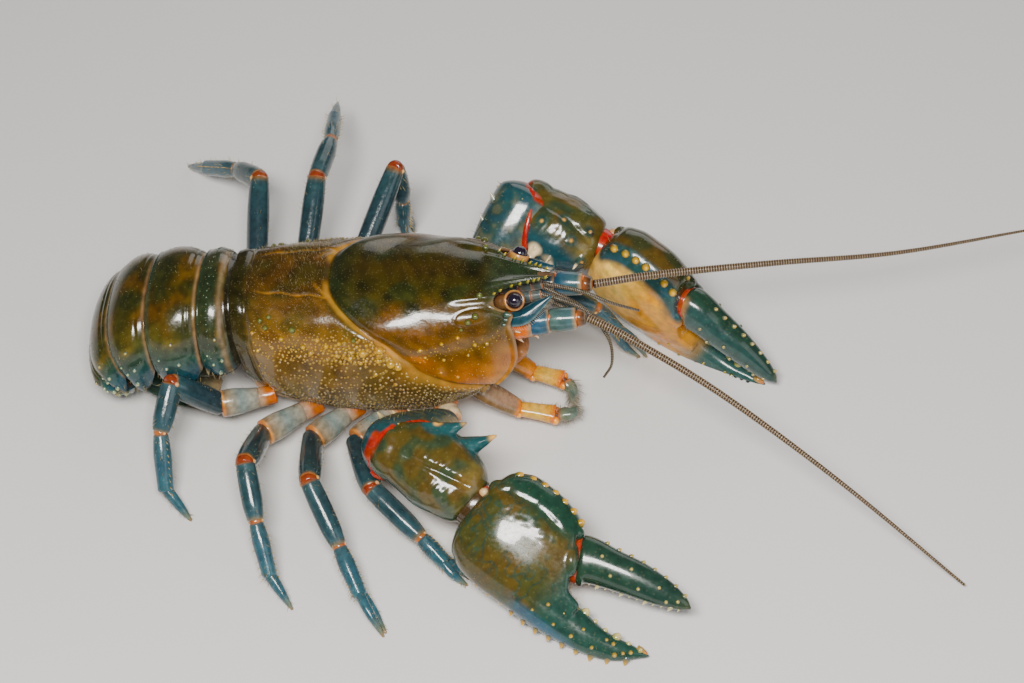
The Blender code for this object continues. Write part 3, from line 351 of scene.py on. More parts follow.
def finish(
    name, rough=0.2, coat=0.35, mottle=0.3, mottle_size=2.2, speck=0.0, speck_size=0.8, bump=0.25,
    plain=None,
):
    """Wet shell: the piece's own colours or a plain one, mottled and speckled, under a clear coat."""
    mat = bpy.data.materials.new(name)
    mat.use_nodes = True
    tree = mat.node_tree
    shader = tree.nodes["Principled BSDF"]
    place = tree.nodes.new("ShaderNodeTexCoord").outputs["Object"]

    def node(kind, **values):
        made = tree.nodes.new(kind)
        for key, value in values.items():
            if hasattr(made, key):
                setattr(made, key, value)
            else:
                made.inputs[key.replace("_", " ")].default_value = value
        return made

    def noise(scale, detail=3.0):
        made = node("ShaderNodeTexNoise", Scale=scale, Detail=detail)
        tree.links.new(place, made.inputs["Vector"])
        return made.outputs["Fac"]

    def mapped(source, low, high, to_low, to_high):
        made = node("ShaderNodeMapRange", From_Min=low, From_Max=high, To_Min=to_low, To_Max=to_high)
        tree.links.new(source, made.inputs["Value"])
        return made.outputs["Result"]

    vary = node("ShaderNodeHueSaturation")
    if plain:
        vary.inputs["Color"].default_value = plain
    else:
        tint = node("ShaderNodeAttribute", attribute_name="tint").outputs["Color"]
        tree.links.new(tint, vary.inputs["Color"])
    tree.links.new(
        mapped(noise(1000 / mottle_size), 0.3, 0.7, 1 - mottle, 1 + mottle), vary.inputs["Value"]
    )
    tree.links.new(mapped(noise(420 / mottle_size), 0.3, 0.7, 0.49, 0.51), vary.inputs["Hue"])
    colour = vary.outputs["Color"]
    if speck:
        cells = node("ShaderNodeTexVoronoi", Scale=1000 / speck_size)
        tree.links.new(place, cells.inputs["Vector"])
        dots = mapped(cells.outputs["Distance"], 0.16, 0.26, speck, 0.0)
        blend = node("ShaderNodeMix", data_type="RGBA")
        lighter = node("ShaderNodeMix", data_type="RGBA")
        lighter.inputs[0].default_value = 0.6
        tree.links.new(colour, lighter.inputs[6])
        lighter.inputs[7].default_value = (0.75, 0.62, 0.32, 1)
        tree.links.new(dots, blend.inputs[0])
        tree.links.new(colour, blend.inputs[6])
        tree.links.new(lighter.outputs[2], blend.inputs[7])
        colour = blend.outputs[2]
    tree.links.new(colour, shader.inputs["Base Color"])
    tree.links.new(mapped(noise(1600), 0.35, 0.65, rough * 0.75, rough * 1.35), shader.inputs["Roughness"])
    relief = node("ShaderNodeBump", Strength=bump, Distance=0.0001)
    fine = node("ShaderNodeMath", operation="ADD")
    tree.links.new(noise(2600, 2.0), fine.inputs[0])
    tree.links.new(mapped(noise(700), 0, 1, 0, 2.0), fine.inputs[1])
    tree.links.new(fine.outputs[0], relief.inputs["Height"])
    tree.links.new(relief.outputs["Normal"], shader.inputs["Normal"])
    shader.inputs["Coat Weight"].default_value = coat
    shader.inputs["Coat Roughness"].default_value = 0.035
    shader.inputs["Specular IOR Level"].default_value = 0.35
    return mat


SHELL = finish("wet_shell", mottle=0.25, mottle_size=3.2, speck=0.1, speck_size=0.5)
TAIL = finish("wet_tail", mottle=0.3, mottle_size=2.8, speck=0.05, speck_size=0.8, bump=0.15)
CLAW = finish("wet_claw", mottle=0.24, mottle_size=1.5, speck=0.05, speck_size=1.0, bump=0.03)
LEG = finish("wet_leg", mottle=0.3, mottle_size=1.2)
SOFT = finish("membrane", rough=0.25, coat=0.6, mottle=0.22, mottle_size=1.0, bump=0.15)
STUD = finish("studs", rough=0.18, coat=0.8, mottle=0.12, bump=0.05)
HORN = finish("feelers", rough=0.38, coat=0.3, mottle=0.2, mottle_size=0.6, bump=0.1)
HAIR = finish("bristles", rough=0.5, coat=0.1, mottle=0.15, bump=0.0)
GLOBE = finish("eye_globe", rough=0.08, coat=1.0, mottle=0.15, mottle_size=0.5, bump=0.04)


# Carapace

UPPER_POWER = 2.35
LOWER_POWER = 3.0
MARGIN_ANGLE = 133.0
UNDERSIDE_RISE = 1.2
FRONT_WALL_X = 49.0
THORAX_END = 40.5


def shell_width(x):
    places = (0, 5, 12, 22, 34, 42, 47.5, 51.5, 57, 61)
    return spline(x, places, (11, 12.2, 13.3, 14.2, 14.4, 13.3, 11.6, 9.6, 7.8, 7.2))


def shell_axis(x):
    return spline(x, (0, 20, 40, 52, 61), (-0.5, -1.8, -1.8, -1.2, 0.6))


def shell_back(x):
    return spline(x, (0, 8, 20, 32, 44, 52, 61), (10.8, 10.8, 10.3, 9.5, 8.4, 7.0, 5.5))


def shell_bottom(x):
    return spline(x, (0, 4, 10, 20, 30, 37, 43, 52), (11.5, 15.5, 18.4, 19.8, 20.2, 19.2, 17.8, 16.8))


def underside_z(x):
    """Level of the shell's floor, between its two lower edges."""
    cos = math.cos(math.radians(MARGIN_ANGLE))
    return shell_axis(x) + shell_bottom(x) * signed_power(cos, 2 / LOWER_POWER) + UNDERSIDE_RISE


def front_edge(angle):
    return spline(
        np.abs(angle), (0, 6, 14, 22, 30, 40, 60, 72, 90, 110, 133),
        (61.0, 59.6, 56.4, 52.0, 50.4, 50.2, 53.4, 52.8, 53.0, 51.6, 44.5),
    )


def groove_line(angle):
    return spline(
        np.abs(angle), (0, 14, 27, 46, 56, 68, 89, 105, 120, 133),
        (18.6, 18.9, 20.2, 23.6, 26.1, 29.2, 33.4, 39.5, 44.6, 48.0),
    )


def vein_angle(x):
    """The long pale furrow along each side of the back."""
    return 18.5 + 0.3 * (x - 5) + 0.8 * np.sin(x * 1.1)


def shell_point(x, angle, scale=1.0, lift=0.0):
    """A point of the shell in its own frame, raised outward by lift."""
    a = np.radians(angle)
    upper = np.abs(angle) <= 90
    power = np.where(upper, UPPER_POWER, LOWER_POWER)
    axis = shell_axis(x)
    depth = np.where(upper, shell_back(x) - axis, shell_bottom(x))
    y = shell_width(x) * signed_power(np.sin(a), 2 / power)
    z = depth * signed_power(np.cos(a), 2 / power)
    reach = np.maximum(np.hypot(y, z), 1e-6)
    grow = scale + lift / reach
    return body(x, y * grow, axis + z * grow)


def shell_relief(x, angle):
    """Height of the surface over the plain shell: grooves, ridges, rims and swellings."""
    a = np.abs(angle)
    edge = front_edge(a)
    from_groove = x - groove_line(a)
    deep = -0.55 * peak(from_groove, 0.2, 1.5) - 0.4 * peak(from_groove, -0.1, 0.4)
    front_bulge = 0.35 * step(from_groove, 0.3, 3.0) * fall(from_groove, 4, 14)
    vein = vein_angle(x)
    long_groove = -0.22 * peak(a, vein, 1.3) * step(x, 3.5, 6) * fall(x, 17.5, 19.5)
    branch = -0.15 * peak(a, 11 + (x - 16) * 3.8, 2.5) * step(x, 15.5, 16.5) * fall(x, 19, 20)
    rear_rim = -0.35 * peak(x, 3.0, 0.5) + 0.15 * peak(x, 1.3, 0.9)
    to_edge = edge - x
    front_rim = (0.22 * peak(to_edge, 0.45, 0.4) - 0.2 * peak(to_edge, 1.3, 0.5)) * step(a, 38, 48)
    lower_rim = (0.25 * peak(a, 131.5, 1.6) - 0.2 * peak(a, 127.5, 1.8)) * step(x, 2, 5)
    ridge = 0.5 * peak(a, 28, 4.5) * step(x, 40, 45) * fall(x, 49, 52)
    swelling = 0.3 * np.exp(-(((x - 46.2) / 3.0) ** 2) - ((a - 49) / 8.0) ** 2)
    ring = -0.12 * peak(np.hypot((x - 46.2) / 2.9, (a - 49) / 8.0), 1.15, 0.12)
    rostrum_edge = peak(a / np.maximum(8 + (56 - x) * 1.1, 4), 1.0, 0.3) * step(x, 46, 50)
    rostrum = 0.35 * rostrum_edge - 0.25 * peak(a, 0, 6) * step(x, 47, 53)
    dents = 0.1 * cloud(np.stack(np.broadcast_arrays(x, angle * 0.24, 0 * x), -1), 7.0, 3)
    return (
        deep + front_bulge + long_groove + branch + rear_rim + front_rim + lower_rim
        + ridge + swelling + ring + rostrum + dents
    )


def shell_tint(x, angle):
    x, angle = np.broadcast_arrays(x, angle)
    a = np.abs(angle)
    spots = np.stack((x, angle * 0.24, 0 * x), -1)
    patch = cloud(spots, 5.0, 7)
    fleck = cloud(spots, 1.6, 8)
    from_groove = x - groove_line(a)
    rear = ramp(
        a, (0, (40, 19, 1)), (16, (50, 25, 1)), (40, (80, 44, 4)), (62, (150, 74, 5)), (88, (150, 78, 8)),
        (108, (110, 68, 16)), (133, (100, 66, 26)),
    )
    rear = mix(rear, (32, 28, 3), 0.55 * step(patch, 0.2, 1.1) * fall(a, 70, 100))
    rear = mix(rear, (90, 36, 1), 0.5 * step(-patch, 0.3, 1.1) * fall(a, 60, 90))
    rear = mix(rear, (20, 22, 4), 0.45 * fall(x, 2, 9) * fall(a, 60, 90))
    front = ramp(
        a, (0, (30, 19, 1)), (14, (30, 24, 1)), (30, (46, 31, 1)), (48, (80, 40, 1)), (70, (110, 50, 1)),
        (84, (105, 50, 2)), (91, (160, 60, 2)), (98, (360, 105, 0)), (110, (460, 140, 0)),
        (122, (380, 140, 6)), (133, (240, 150, 60)),
    )
    band = fall(from_groove, 3.5, 6.5) * step(a, 76, 84) * fall(a, 96, 108)
    front = mix(front, (380, 115, 0), 0.85 * band)
    front = mix(front, (115, 43, 1), 0.8 * step(patch, 0.0, 0.9) * peak(a, 52, 24) * peak(x, 33, 7))
    green = step(-patch, 0.0, 1.0) * fall(a, 32, 60)
    front = mix(front, (13, 22, 4), 0.7 * green)
    front = mix(front, (13, 28, 12), 0.75 * step(x, 46.5, 50.5) * fall(a, 66, 82))
    front = mix(front, (11, 18, 4), 0.75 * peak(from_groove, 1.8, 3.0) * fall(a, 34, 62))
    for spot_x, spot_a, size in (
        (35.5, 35, 1.5), (26, 14, 1.6), (45.7, 3, 2.0), (30.5, 24, 1.1), (41, 22, 1.0)
    ):
        dark = np.exp(-(((x - spot_x) / size) ** 2) - (((a - spot_a) / (size * 3.6)) ** 2))
        front = mix(front, (6, 7, 1), 0.75 * dark)
    tint = mix(rear, front, step(from_groove, -0.3, 0.4))
    line = 0.8 * peak(from_groove, -0.45, 0.5) * step(a, 4, 14)
    line = line + 0.75 * peak(from_groove, -1.3, 1.4) * step(a, 60, 84)
    tint = mix(tint, (360, 175, 16), np.clip(line, 0, 0.9))
    vein = vein_angle(x)
    furrow = peak(a, vein, 0.9) * step(x, 4, 7) * fall(x, 18.5, 19.8)
    branch = peak(a, 11 + (x - 16) * 3.8, 2.0) * step(x, 15.8, 16.6) * fall(x, 19, 20)
    tint = mix(tint, (290, 135, 8), 0.75 * np.clip(furrow + 0.8 * branch, 0, 1))
    tint = mix(tint, (13, 12, 1), 0.85 * fall(x, 2.2, 3.2))
    rim = peak(front_edge(a) - x, 0.2, 0.6) * step(a, 30, 42)
    tint = mix(tint, (260, 150, 60), 0.55 * rim)
    return tint * (1 + 0.16 * np.clip(fleck, -1.5, 1.5))[..., None]


# Across the shell's floor, as shares of its half width
FLOOR_SHARES = (0.97, 0.4, -0.4, -0.97)
# Rings of the wall behind the face: share of the shell's section, share of the way back
FRONT_WALL = ((0.985, 0.0), (0.955, 0.25), (0.9, 0.8), (0.86, 1.0))


def make_carapace():
    angles = np.linspace(-MARGIN_ANGLE, MARGIN_ANGLE, 251)[None]
    share = np.linspace(0, 1, 300)[:, None]
    x = share * front_edge(angles)
    top = shell_point(x, angles, lift=shell_relief(x, angles))
    floor_x = share * front_edge(MARGIN_ANGLE)
    half = shell_width(floor_x) * math.sin(math.radians(MARGIN_ANGLE)) ** (2 / LOWER_POWER)
    across = half * np.array(FLOOR_SHARES)
    under = body(floor_x, across, underside_z(floor_x))
    floor_tint = np.broadcast_to(GREY_TAN, under.shape)
    rings = [np.concatenate((top, under), 1)]
    tints = [np.concatenate((shell_tint(x, angles), floor_tint), 1)]
    for scale, back in FRONT_WALL:
        wall_x = lerp(front_edge(angles[0]), FRONT_WALL_X, back)
        ring = shell_point(wall_x, angles[0], scale)
        low_x = lerp(front_edge(MARGIN_ANGLE), FRONT_WALL_X, back)
        low = shell_point(low_x, MARGIN_ANGLE, scale)
        floor = [vec(low[0], MIDLINE_Y + (low[1] - MIDLINE_Y) * s, low[2] + 0.3) for s in FLOOR_SHARES]
        rings.append(np.concatenate((ring, floor))[None])
        tints.append(np.broadcast_to((120, 60, 30), rings[-1].shape))
    shell = Piece()
    shell.grid(np.concatenate(rings), np.concatenate(tints))
    shell.build("carapace_shell", SHELL, "shell", "carapace")


def shell_roots(x, angle, lift=0.0):
    """Points and outward normals on the shell at arrays of x and angle."""
    here = shell_point(x, angle, lift=shell_relief(x, angle) + lift)
    along = shell_point(x + 0.2, angle) - shell_point(x - 0.2, angle)
    around = shell_point(x, angle + 1) - shell_point(x, angle - 1)
    normal = unit(np.cross(around, along))
    inside = body(x, 0 * x, shell_axis(x))
    flip = np.sign(np.sum(normal * (here - inside), -1, keepdims=True))
    return here, normal * flip


# Large tubercles of each flank, cheek and orbit: distance, angle, radius and whether green
TUBERCLES = (
    (25.2, 75, 0.85, 0), (28.4, 73, 0.75, 0), (30.0, 87, 0.85, 0), (31.2, 90, 0.7, 0), (27.7, 84, 0.55, 0),
    (13.8, 71, 0.5, 0), (15.0, 77, 0.5, 0), (16.8, 63, 0.48, 0), (18.3, 69, 0.55, 0), (20.9, 66, 0.42, 0),
    (9.8, 64, 0.5, 0), (4.1, 61, 0.38, 0), (4.6, 79, 0.42, 0), (7.7, 74, 0.36, 0), (22.4, 81, 0.55, 0),
    (23.0, 74, 0.45, 0), (24.2, 86, 0.42, 0), (20.0, 78, 0.42, 0), (26.4, 92, 0.45, 0),
    (29.6, 97, 0.42, 0), (6.0, 47, 0.48, 1), (7.8, 43, 0.45, 1), (6.9, 54, 0.5, 1), (12.2, 54, 0.6, 1),
    (23.8, 62, 0.45, 1), (43.2, 68, 0.42, 0), (40.2, 71, 0.36, 0), (36.1, 74, 0.42, 0),
    (46.0, 81, 0.42, 0), (48.1, 84, 0.4, 0), (40.0, 88, 0.36, 0), (38.8, 93, 0.34, 0), (41.5, 98, 0.36, 0),
    (44.4, 90, 0.3, 0), (36.8, 82, 0.32, 0), (46.8, 48, 0.6, 1), (45.4, 53, 0.55, 1), (47.7, 27, 0.6, 1),
    (44.0, 60, 0.35, 1),
)


GOLD, CREAM, JADE = (520, 290, 4), (270, 190, 50), (50, 100, 20)


def listed_tubercles(studs, sign):
    x, a, radius, green = np.array(TUBERCLES).T
    roots, normals = shell_roots(x, a * sign, -0.1)
    base = mix(shell_tint(x, a), (12, 26, 10), 0.8 * green)
    tips = mix(np.broadcast_to(GOLD, base.shape), JADE, 0.85 * green)
    aims = normals + FORWARD * 0.1
    studs.studs(roots, aims, radius * 1.25, radius * 1.2, mix(base, tips, 0.1), tips, DOME, 14)


def shell_grains(studs, sign, spacing, low, high, fine):
    """Grains at shaken places of a net: tiny ones all over, or larger ones of the flank and cheek."""
    xs, angles = np.meshgrid(np.arange(3.8, 52, spacing), np.arange(low, high, spacing * 4.1))
    xs = xs + spacing * 0.5 * (np.arange(len(xs))[:, None] % 2)
    x = (xs + rng.uniform(-0.32, 0.32, xs.shape) * spacing).ravel()
    a = (angles + rng.uniform(-1.4, 1.4, xs.shape) * spacing).ravel()
    behind = groove_line(a) - x
    inside = front_edge(a) - x > 1.0
    if fine:
        radius = np.full(len(x), 0.085)
        keep = np.where(behind > 0, 0.5, 0.4) * inside * (np.abs(behind) > 0.7)
    else:
        swell = np.exp(-((behind - 3.5) / 9.0) ** 2 - ((a - 74) / 22.0) ** 2)
        radius = 0.16 + 0.12 * step(a, 58, 76) + 0.22 * swell
        cheek = inside & (behind < -2.0) & (a > 74) & (x > 34)
        keep = np.where(behind > 1.0, 0.45 + 0.6 * step(a, 52, 66), np.where(cheek, 0.5, 0.0))
        keep = keep * (0.5 + 0.5 * step(x, 3, 14))
        radius = np.where(cheek, 0.17, radius)
    chosen = rng.uniform(0, 1, len(x)) < keep
    x, a, radius = x[chosen], a[chosen], radius[chosen] * rng.uniform(0.75, 1.25, chosen.sum())
    roots, normals = shell_roots(x, a * sign, -0.03)
    base = shell_tint(x, a)
    if fine:
        tips = mix(base, (460, 280, 50), 0.32)
    else:
        tips = mix(mix(base, CREAM, 0.75), mix(base, GOLD, 0.75), np.exp(-((a - 76) / 20.0) ** 2))
    studs.studs(roots, normals, radius * 0.95, radius, mix(base, tips, 0.15), tips, BEAD, 5 if fine else 8)


def beak_spines(studs, sign):
    """The row along the beak's edge, and three behind the eye."""
    x = np.array((53.3, 54.8, 56.2, 57.4, 58.6, 59.8, 51.8, 50.2))
    a = np.array((19.0, 16.5, 13.5, 11.5, 9.5, 6.0, 23.5, 27.0))
    x = np.minimum(x, front_edge(a) - 0.25)
    roots, normals = shell_roots(x, a * sign)
    dark, yellow = (30, 50, 10), (750, 520, 20)
    studs.studs(roots, normals + FORWARD * 0.6, 0.85, 0.4, dark, yellow, SPINE, 9)
    roots, normals = shell_roots(vec(52.3, 51.9, 51.5), vec(57.0, 64.0, 70.0) * sign)
    size = vec(0.75, 0.5, 0.4)
    dark, jade = (20, 50, 35), (90, 160, 100)
    studs.studs(roots, normals + FORWARD * 1.4, size * 1.5, size, dark, jade, SPINE, 10)


def make_shell_studs():
    studs = Piece()
    for sign in (-1, 1):
        listed_tubercles(studs, sign)
        shell_grains(studs, sign, 0.82, 47, 131, fine=False)
        shell_grains(studs, sign, 1.05, 12, 100, fine=True)
        beak_spines(studs, sign)
    studs.build("carapace_tubercles", STUD, "shell")


def make_shell_bristles():
    """Short bristles of the back, and longer ones along the lower edges."""
    hairs = Piece()
    count = 1100
    x = rng.uniform(3, 36, count)
    a = rng.uniform(-60, 40, count) * rng.choice((-1, 1), count)
    x = np.where(x < groove_line(a) - 1, x, x * 0.5)
    roots, normals = shell_roots(x, a)
    aims = normals + rng.normal(0, 0.25, (count, 3))
    length = rng.uniform(0.3, 0.75, count)
    hairs.studs(roots, aims, length, 0.035, (250, 190, 90), (520, 450, 280), BRISTLE, 3)
    count = 420
    a = rng.uniform(124, 133, count) * rng.choice((-1, 1), count)
    x = np.minimum(rng.uniform(4, 50, count), front_edge(a) - 0.3)
    roots, normals = shell_roots(x, a)
    length = rng.uniform(0.4, 1.0, count)
    aims = normals + vec(0, 0, -0.8)
    hairs.studs(roots, aims, length, 0.035, (300, 220, 120), (600, 500, 330), BRISTLE, 3)
    hairs.build("carapace_bristles", HAIR, "shell")


# Tail

# Points (x, z) of the back and of the belly, half widths and depths of the side lobes, at the
# front of each ring and at the end of the last
TAIL_BACKS = (
    (-2.1, 32.3), (-8.4, 31.6), (-18.4, 28.9), (-26.4, 23.2), (-30.6, 15.0), (-29.6, 6.6), (-23.2, 1.6)
)
TAIL_BELLIES = (
    (1.1, 15.0), (-6.4, 15.0), (-15.4, 14.2), (-21.2, 12.8), (-24.0, 10.6), (-23.6, 9.0), (-20.8, 8.2)
)
TAIL_WIDTHS = (10.6, 12.0, 12.8, 12.6, 11.6, 10.4, 8.6)
PLEURON_DROPS = (0.8, 3.4, 3.2, 2.6, 1.6, 0.6)


def tail_ring(number, u, widen, drop):
    """A section of the tail, the share round it (0 on the back, 1 at the lobes), outward directions."""
    at, knots = number + u, range(7)
    back, belly = spline(at, knots, TAIL_BACKS), spline(at, knots, TAIL_BELLIES)
    back = vec(back[0], MIDLINE_Y, back[1])
    down = vec(belly[0], MIDLINE_Y, belly[1]) - back
    half = spline(at, knots, TAIL_WIDTHS) * widen
    depth = np.linalg.norm(down)
    down = down / depth
    normal = unit(np.cross(vec(0, 1, 0), down))
    centre = back + normal * (0.15 - 0.3 * u)
    q = np.linspace(-LOBE_SPAN, LOBE_SPAN, RING_CELLS)
    a = np.clip(q, -1, 1) * math.pi / 2
    over = np.clip(np.abs(q) - 1, 0, 0.16) / 0.16
    y = signed_power(np.sin(a), 0.85) * half * (1 - 0.03 * over ** 2)
    d = depth * 0.72 * (1 - np.abs(np.cos(a)) ** 0.8) + over * (depth * 0.08 + drop)
    ring = centre + np.outer(y, vec(0, 1, 0)) + np.outer(d, down)
    out = unit(ring - (centre + down * depth * 0.45))
    ring = ring + out * tail_lift(u, np.abs(q))[:, None]
    belly_shares = ((0.84, 0.72), (0.45, 0.86), (-0.45, 0.86), (-0.84, 0.72))
    under = [centre + vec(0, half * s, 0) + down * depth * r for s, r in belly_shares]
    ring = np.concatenate((ring, under))
    ring[:, 2] = np.maximum(ring[:, 2], 0.0)
    return ring, np.concatenate((np.abs(q), np.full(4, 2.0))), out


def tail_lift(u, side):
    """Height over the plain ring, along it from 0 at the front and round it."""
    facet = -0.35 * fall(u, 0.03, 0.16) * fall(side, 0.85, 1.0)
    groove = -0.16 * peak(u, 0.2, 0.05) * fall(side, 0.75, 0.95)
    crown = 0.55 * np.sin(math.pi * np.clip((u - 0.12) / 0.9, 0, 1)) ** 0.8
    swell = 0.3 * peak(side, 0.7, 0.16) * peak(u, 0.55, 0.35)
    lobe = 0.8 * step(side, 0.76, 1.02) * np.sin(math.pi * np.clip(u, 0, 1)) ** 0.5
    crease = -0.25 * peak(side, 0.86, 0.03) * step(u, 0.1, 0.3) * fall(u, 0.7, 0.9)
    lip = 0.14 * peak(u, 0.975, 0.02)
    return facet + groove + crown + swell + lobe + crease + lip


def tail_tint(u, side, points, ring):
    """Olive-green back with brown clouds, teal lobes and a pale line at the joints."""
    patch = cloud(points, 4.5, 21 + ring)
    fleck = cloud(points, 1.3, 41)
    tint = ramp(
        side, (0, (28, 22, 1)), (0.3, (36, 28, 2)), (0.6, (52, 40, 4)),
        (0.66, (46, 42, 6)), (0.8, (24, 36, 12)), (0.95, (12, 44, 34)),
        (1.05, (7, 46, 62)), (1.2, (7, 46, 70)), (2.0, (100, 60, 30)),
    )
    brown = step(patch, 0.0, 1.1) * fall(side, 0.62, 0.8)
    tint = mix(tint, (80, 38, 1), 0.75 * brown)
    green = step(-patch, 0.0, 1.0) * fall(side, 0.8, 0.95)
    tint = mix(tint, (12, 22, 5), 0.55 * green)
    tint = mix(tint, (18, 45, 26), 0.6 * step(u, 0.86, 0.96) * fall(side, 1.4, 1.8))
    gold = np.exp(-((u - 0.5) / 0.16) ** 2 - ((side - 0.72) / 0.05) ** 2)
    tint = mix(tint, (200, 120, 14), 0.45 * gold)
    joint = peak(u, 0.035, 0.035) * fall(side, 1.4, 1.8)
    width = 0.9 if ring < 2 else 0.7
    tint = mix(tint, (200, 115, 50), width * joint)
    if ring == 0:
        open_sides = fall(side, 1.2, 1.6)
        tint = mix(tint, (170, 115, 55), 0.9 * peak(u, 0.3, 0.09) * open_sides)
        # Painted shade: a near-black band at the very front of the first ring, for the shadow in the gap
        # under the carapace's rear rim
        tint = mix(tint, (16, 14, 6), fall(u, 0.1, 0.2) * open_sides)
        tint = mix(tint, (14, 26, 10), 0.8 * step(u, 0.4, 0.52) * fall(side, 0.75, 0.95))
    return tint * (1 + 0.12 * np.clip(fleck, -1.5, 1.5))[..., None]


RING_ROWS = 64
RING_CELLS = 96
LOBE_SPAN = 1.16
# Tubercles of each ring's lobes: share along it, share round it, radius
LOBE_DOTS = (
    [0.42, 0.93, 0.42], [0.68, 0.97, 0.36], [0.55, 1.06, 0.5], [0.8, 0.88, 0.26], [0.5, 0.72, 0.36]
)


def tail_grid(number):
    """Points, outward directions and colours of one ring's grid."""
    rows, outs, tints = [], [], []
    for u in np.linspace(0, 1, RING_ROWS):
        bulge = spline(u, (0, 0.12, 0.35, 0.7, 0.9, 1), (0.1, 0.65, 0.95, 1.0, 0.7, 0.1))
        widen = spline(u, (0, 0.3, 0.72, 1), (0.955, 0.985, 1.0, 0.97))
        ring, side, out = tail_ring(number, u, widen, PLEURON_DROPS[number] * bulge)
        rows.append(ring)
        outs.append(out)
        tints.append(tail_tint(u, side, ring, number))
    return np.stack(rows), np.stack(outs), np.stack(tints)


def tail_dots(studs, number, grid, out):
    dark, jade, gold = (30, 90, 85), (450, 500, 220), (500, 330, 40)
    last = RING_CELLS - 1
    for sign in (-1, 1):
        for u, side, size in LOBE_DOTS:
            j = int(round((side * sign + LOBE_SPAN) / (2 * LOBE_SPAN) * last))
            r = int(u * (RING_ROWS - 1))
            tip = jade if side > 0.8 else gold
            studs.studs(grid[r, j], out[r, j], size * 1.2, size, dark, tip, DOME, 12)
    r = rng.integers(12, 60, 36)
    j = rng.integers(6, RING_CELLS - 6, 36)
    studs.studs(grid[r, j], out[r, j], 0.1, 0.1, (60, 60, 20), (200, 180, 60), BEAD, 6)
    if number == 0:
        j = np.linspace(10, last - 10, 26).astype(int)
        studs.studs(grid[44, j], out[44, j], 0.2, 0.2, (12, 35, 20), (100, 160, 90), BEAD, 8)


def tail_hairs(hairs, grid, out):
    """Bristles, four in ten of them on the lobes' edges."""
    count = 64
    r = rng.integers(12, 62, count)
    j = rng.integers(0, RING_CELLS, count)
    edge = rng.uniform(0, 1, count) < 0.4
    edges = (0, 1, 2, RING_CELLS - 3, RING_CELLS - 2, RING_CELLS - 1)
    j = np.where(edge, rng.choice(edges, count), j)
    size = np.where(edge, 1.1, 0.6) * rng.uniform(0.6, 1.2, count)
    aims = out[r, j] + rng.normal(0, 0.2, (count, 3))
    hairs.studs(grid[r, j], aims, size, 0.05, (300, 220, 100), (600, 520, 300), BRISTLE, 3)


def make_tail():
    studs, hairs = Piece(), Piece()
    for number in range(6):
        grid, out, tint = tail_grid(number)
        ring = Piece()
        ring.grid(grid, tint)
        ring.build(f"tail_ring_{number + 1}", TAIL, "tail", f"abdomen_{number + 1}")
        tail_dots(studs, number, grid, out)
        tail_hairs(hairs, grid, out)
    studs.build("tail_tubercles", STUD, "tail")
    hairs.build("tail_bristles", HAIR, "tail")


FAN_WIDTHS = ((0, 0.3, 0.65, 0.88, 1.0), (0.85, 1.0, 0.8, 0.35))


def fan_blade(piece, root, tip, half_width, bottom, top, start_width):
    """A flat, fringed blade of the tail fan; start_width is the share of its width at the root."""
    root, tip = np.array(root, float), np.array(tip, float)
    along = unit(tip - root)
    across = vec(-along[1], along[0], 0)
    length = np.linalg.norm(tip - root)
    sides = 48
    a = turns(sides)
    rows, tints = [], []
    for s in np.linspace(0, 1, 40):
        width = half_width * spline(s, FAN_WIDTHS[0], (start_width, *FAN_WIDTHS[1]))
        y = signed_power(np.cos(a), 0.8) * width
        thick = (lerp(top, bottom + 0.5, s) - bottom) / 2
        keel = 0.12 * peak(y, 0, 0.5) + 0.05 * np.cos(y * 5.0) * step(s, 0.45, 0.6)
        z = bottom + thick + signed_power(np.sin(a), 0.8) * thick + np.where(np.sin(a) > 0, keel - 0.12, 0)
        rows.append(root + length * s * along + np.outer(y, across) + np.outer(z, vec(0, 0, 1)))
        tint = mix(mix((70, 60, 10), TEAL, 0.6), (200, 140, 70), step(s, 0.6, 1.0))
        tints.append(np.broadcast_to(tint, (sides, 3)))
    piece.grid(np.stack(rows), np.stack(tints))
    edge = np.stack([rows[k][j] for k in range(16, 40) for j in (0, sides // 2)])
    aims = unit(edge - (root + along * length * 0.5)) * vec(1, 1, 0.2)
    aims = aims + rng.normal(0, 0.1, edge.shape)
    piece.studs(edge, aims, 0.9, 0.04, (300, 220, 120), (550, 450, 300), BRISTLE, 3)


def make_tail_fan():
    telson = Piece()
    fan_blade(telson, (FAN_ROOT_X, MIDLINE_Y, 0), (-5.0, MIDLINE_Y, 0), 4.4, 5.9, 7.4, 0.9)
    telson.build("telson_blade", TAIL, "tail", "telson")
    for side, sign in SIDES:
        inner, outer = Piece(), Piece()
        root, tip = (FAN_ROOT_X, MIDLINE_Y + sign * 3.6, 0), (-5.5, MIDLINE_Y + sign * 4.6, 0)
        fan_blade(inner, root, tip, 3.4, 4.2, 5.6, 0.6)
        root, tip = (FAN_ROOT_X, MIDLINE_Y + sign * 4.6, 0), (-6.5, MIDLINE_Y + sign * 6.6, 0)
        fan_blade(outer, root, tip, 3.4, 2.5, 3.9, 0.5)
        inner.build(f"fan_inner_{side}", TAIL, "tail", f"uropod_inner_{side}")
        outer.build(f"fan_outer_{side}", TAIL, "tail", f"uropod_outer_{side}")


# Head

WALL_FACE = FRONT_WALL_X + 0.3
EYE_RADIUS = 1.42


EYE_RIM = (
    (-1.5, 1.2), (-1.1, 1.7), (-0.5, 1.93), (0.0, 2.0), (0.3, 1.92), (0.42, 1.74), (0.36, 1.52),
    (0.1, 1.36),
)


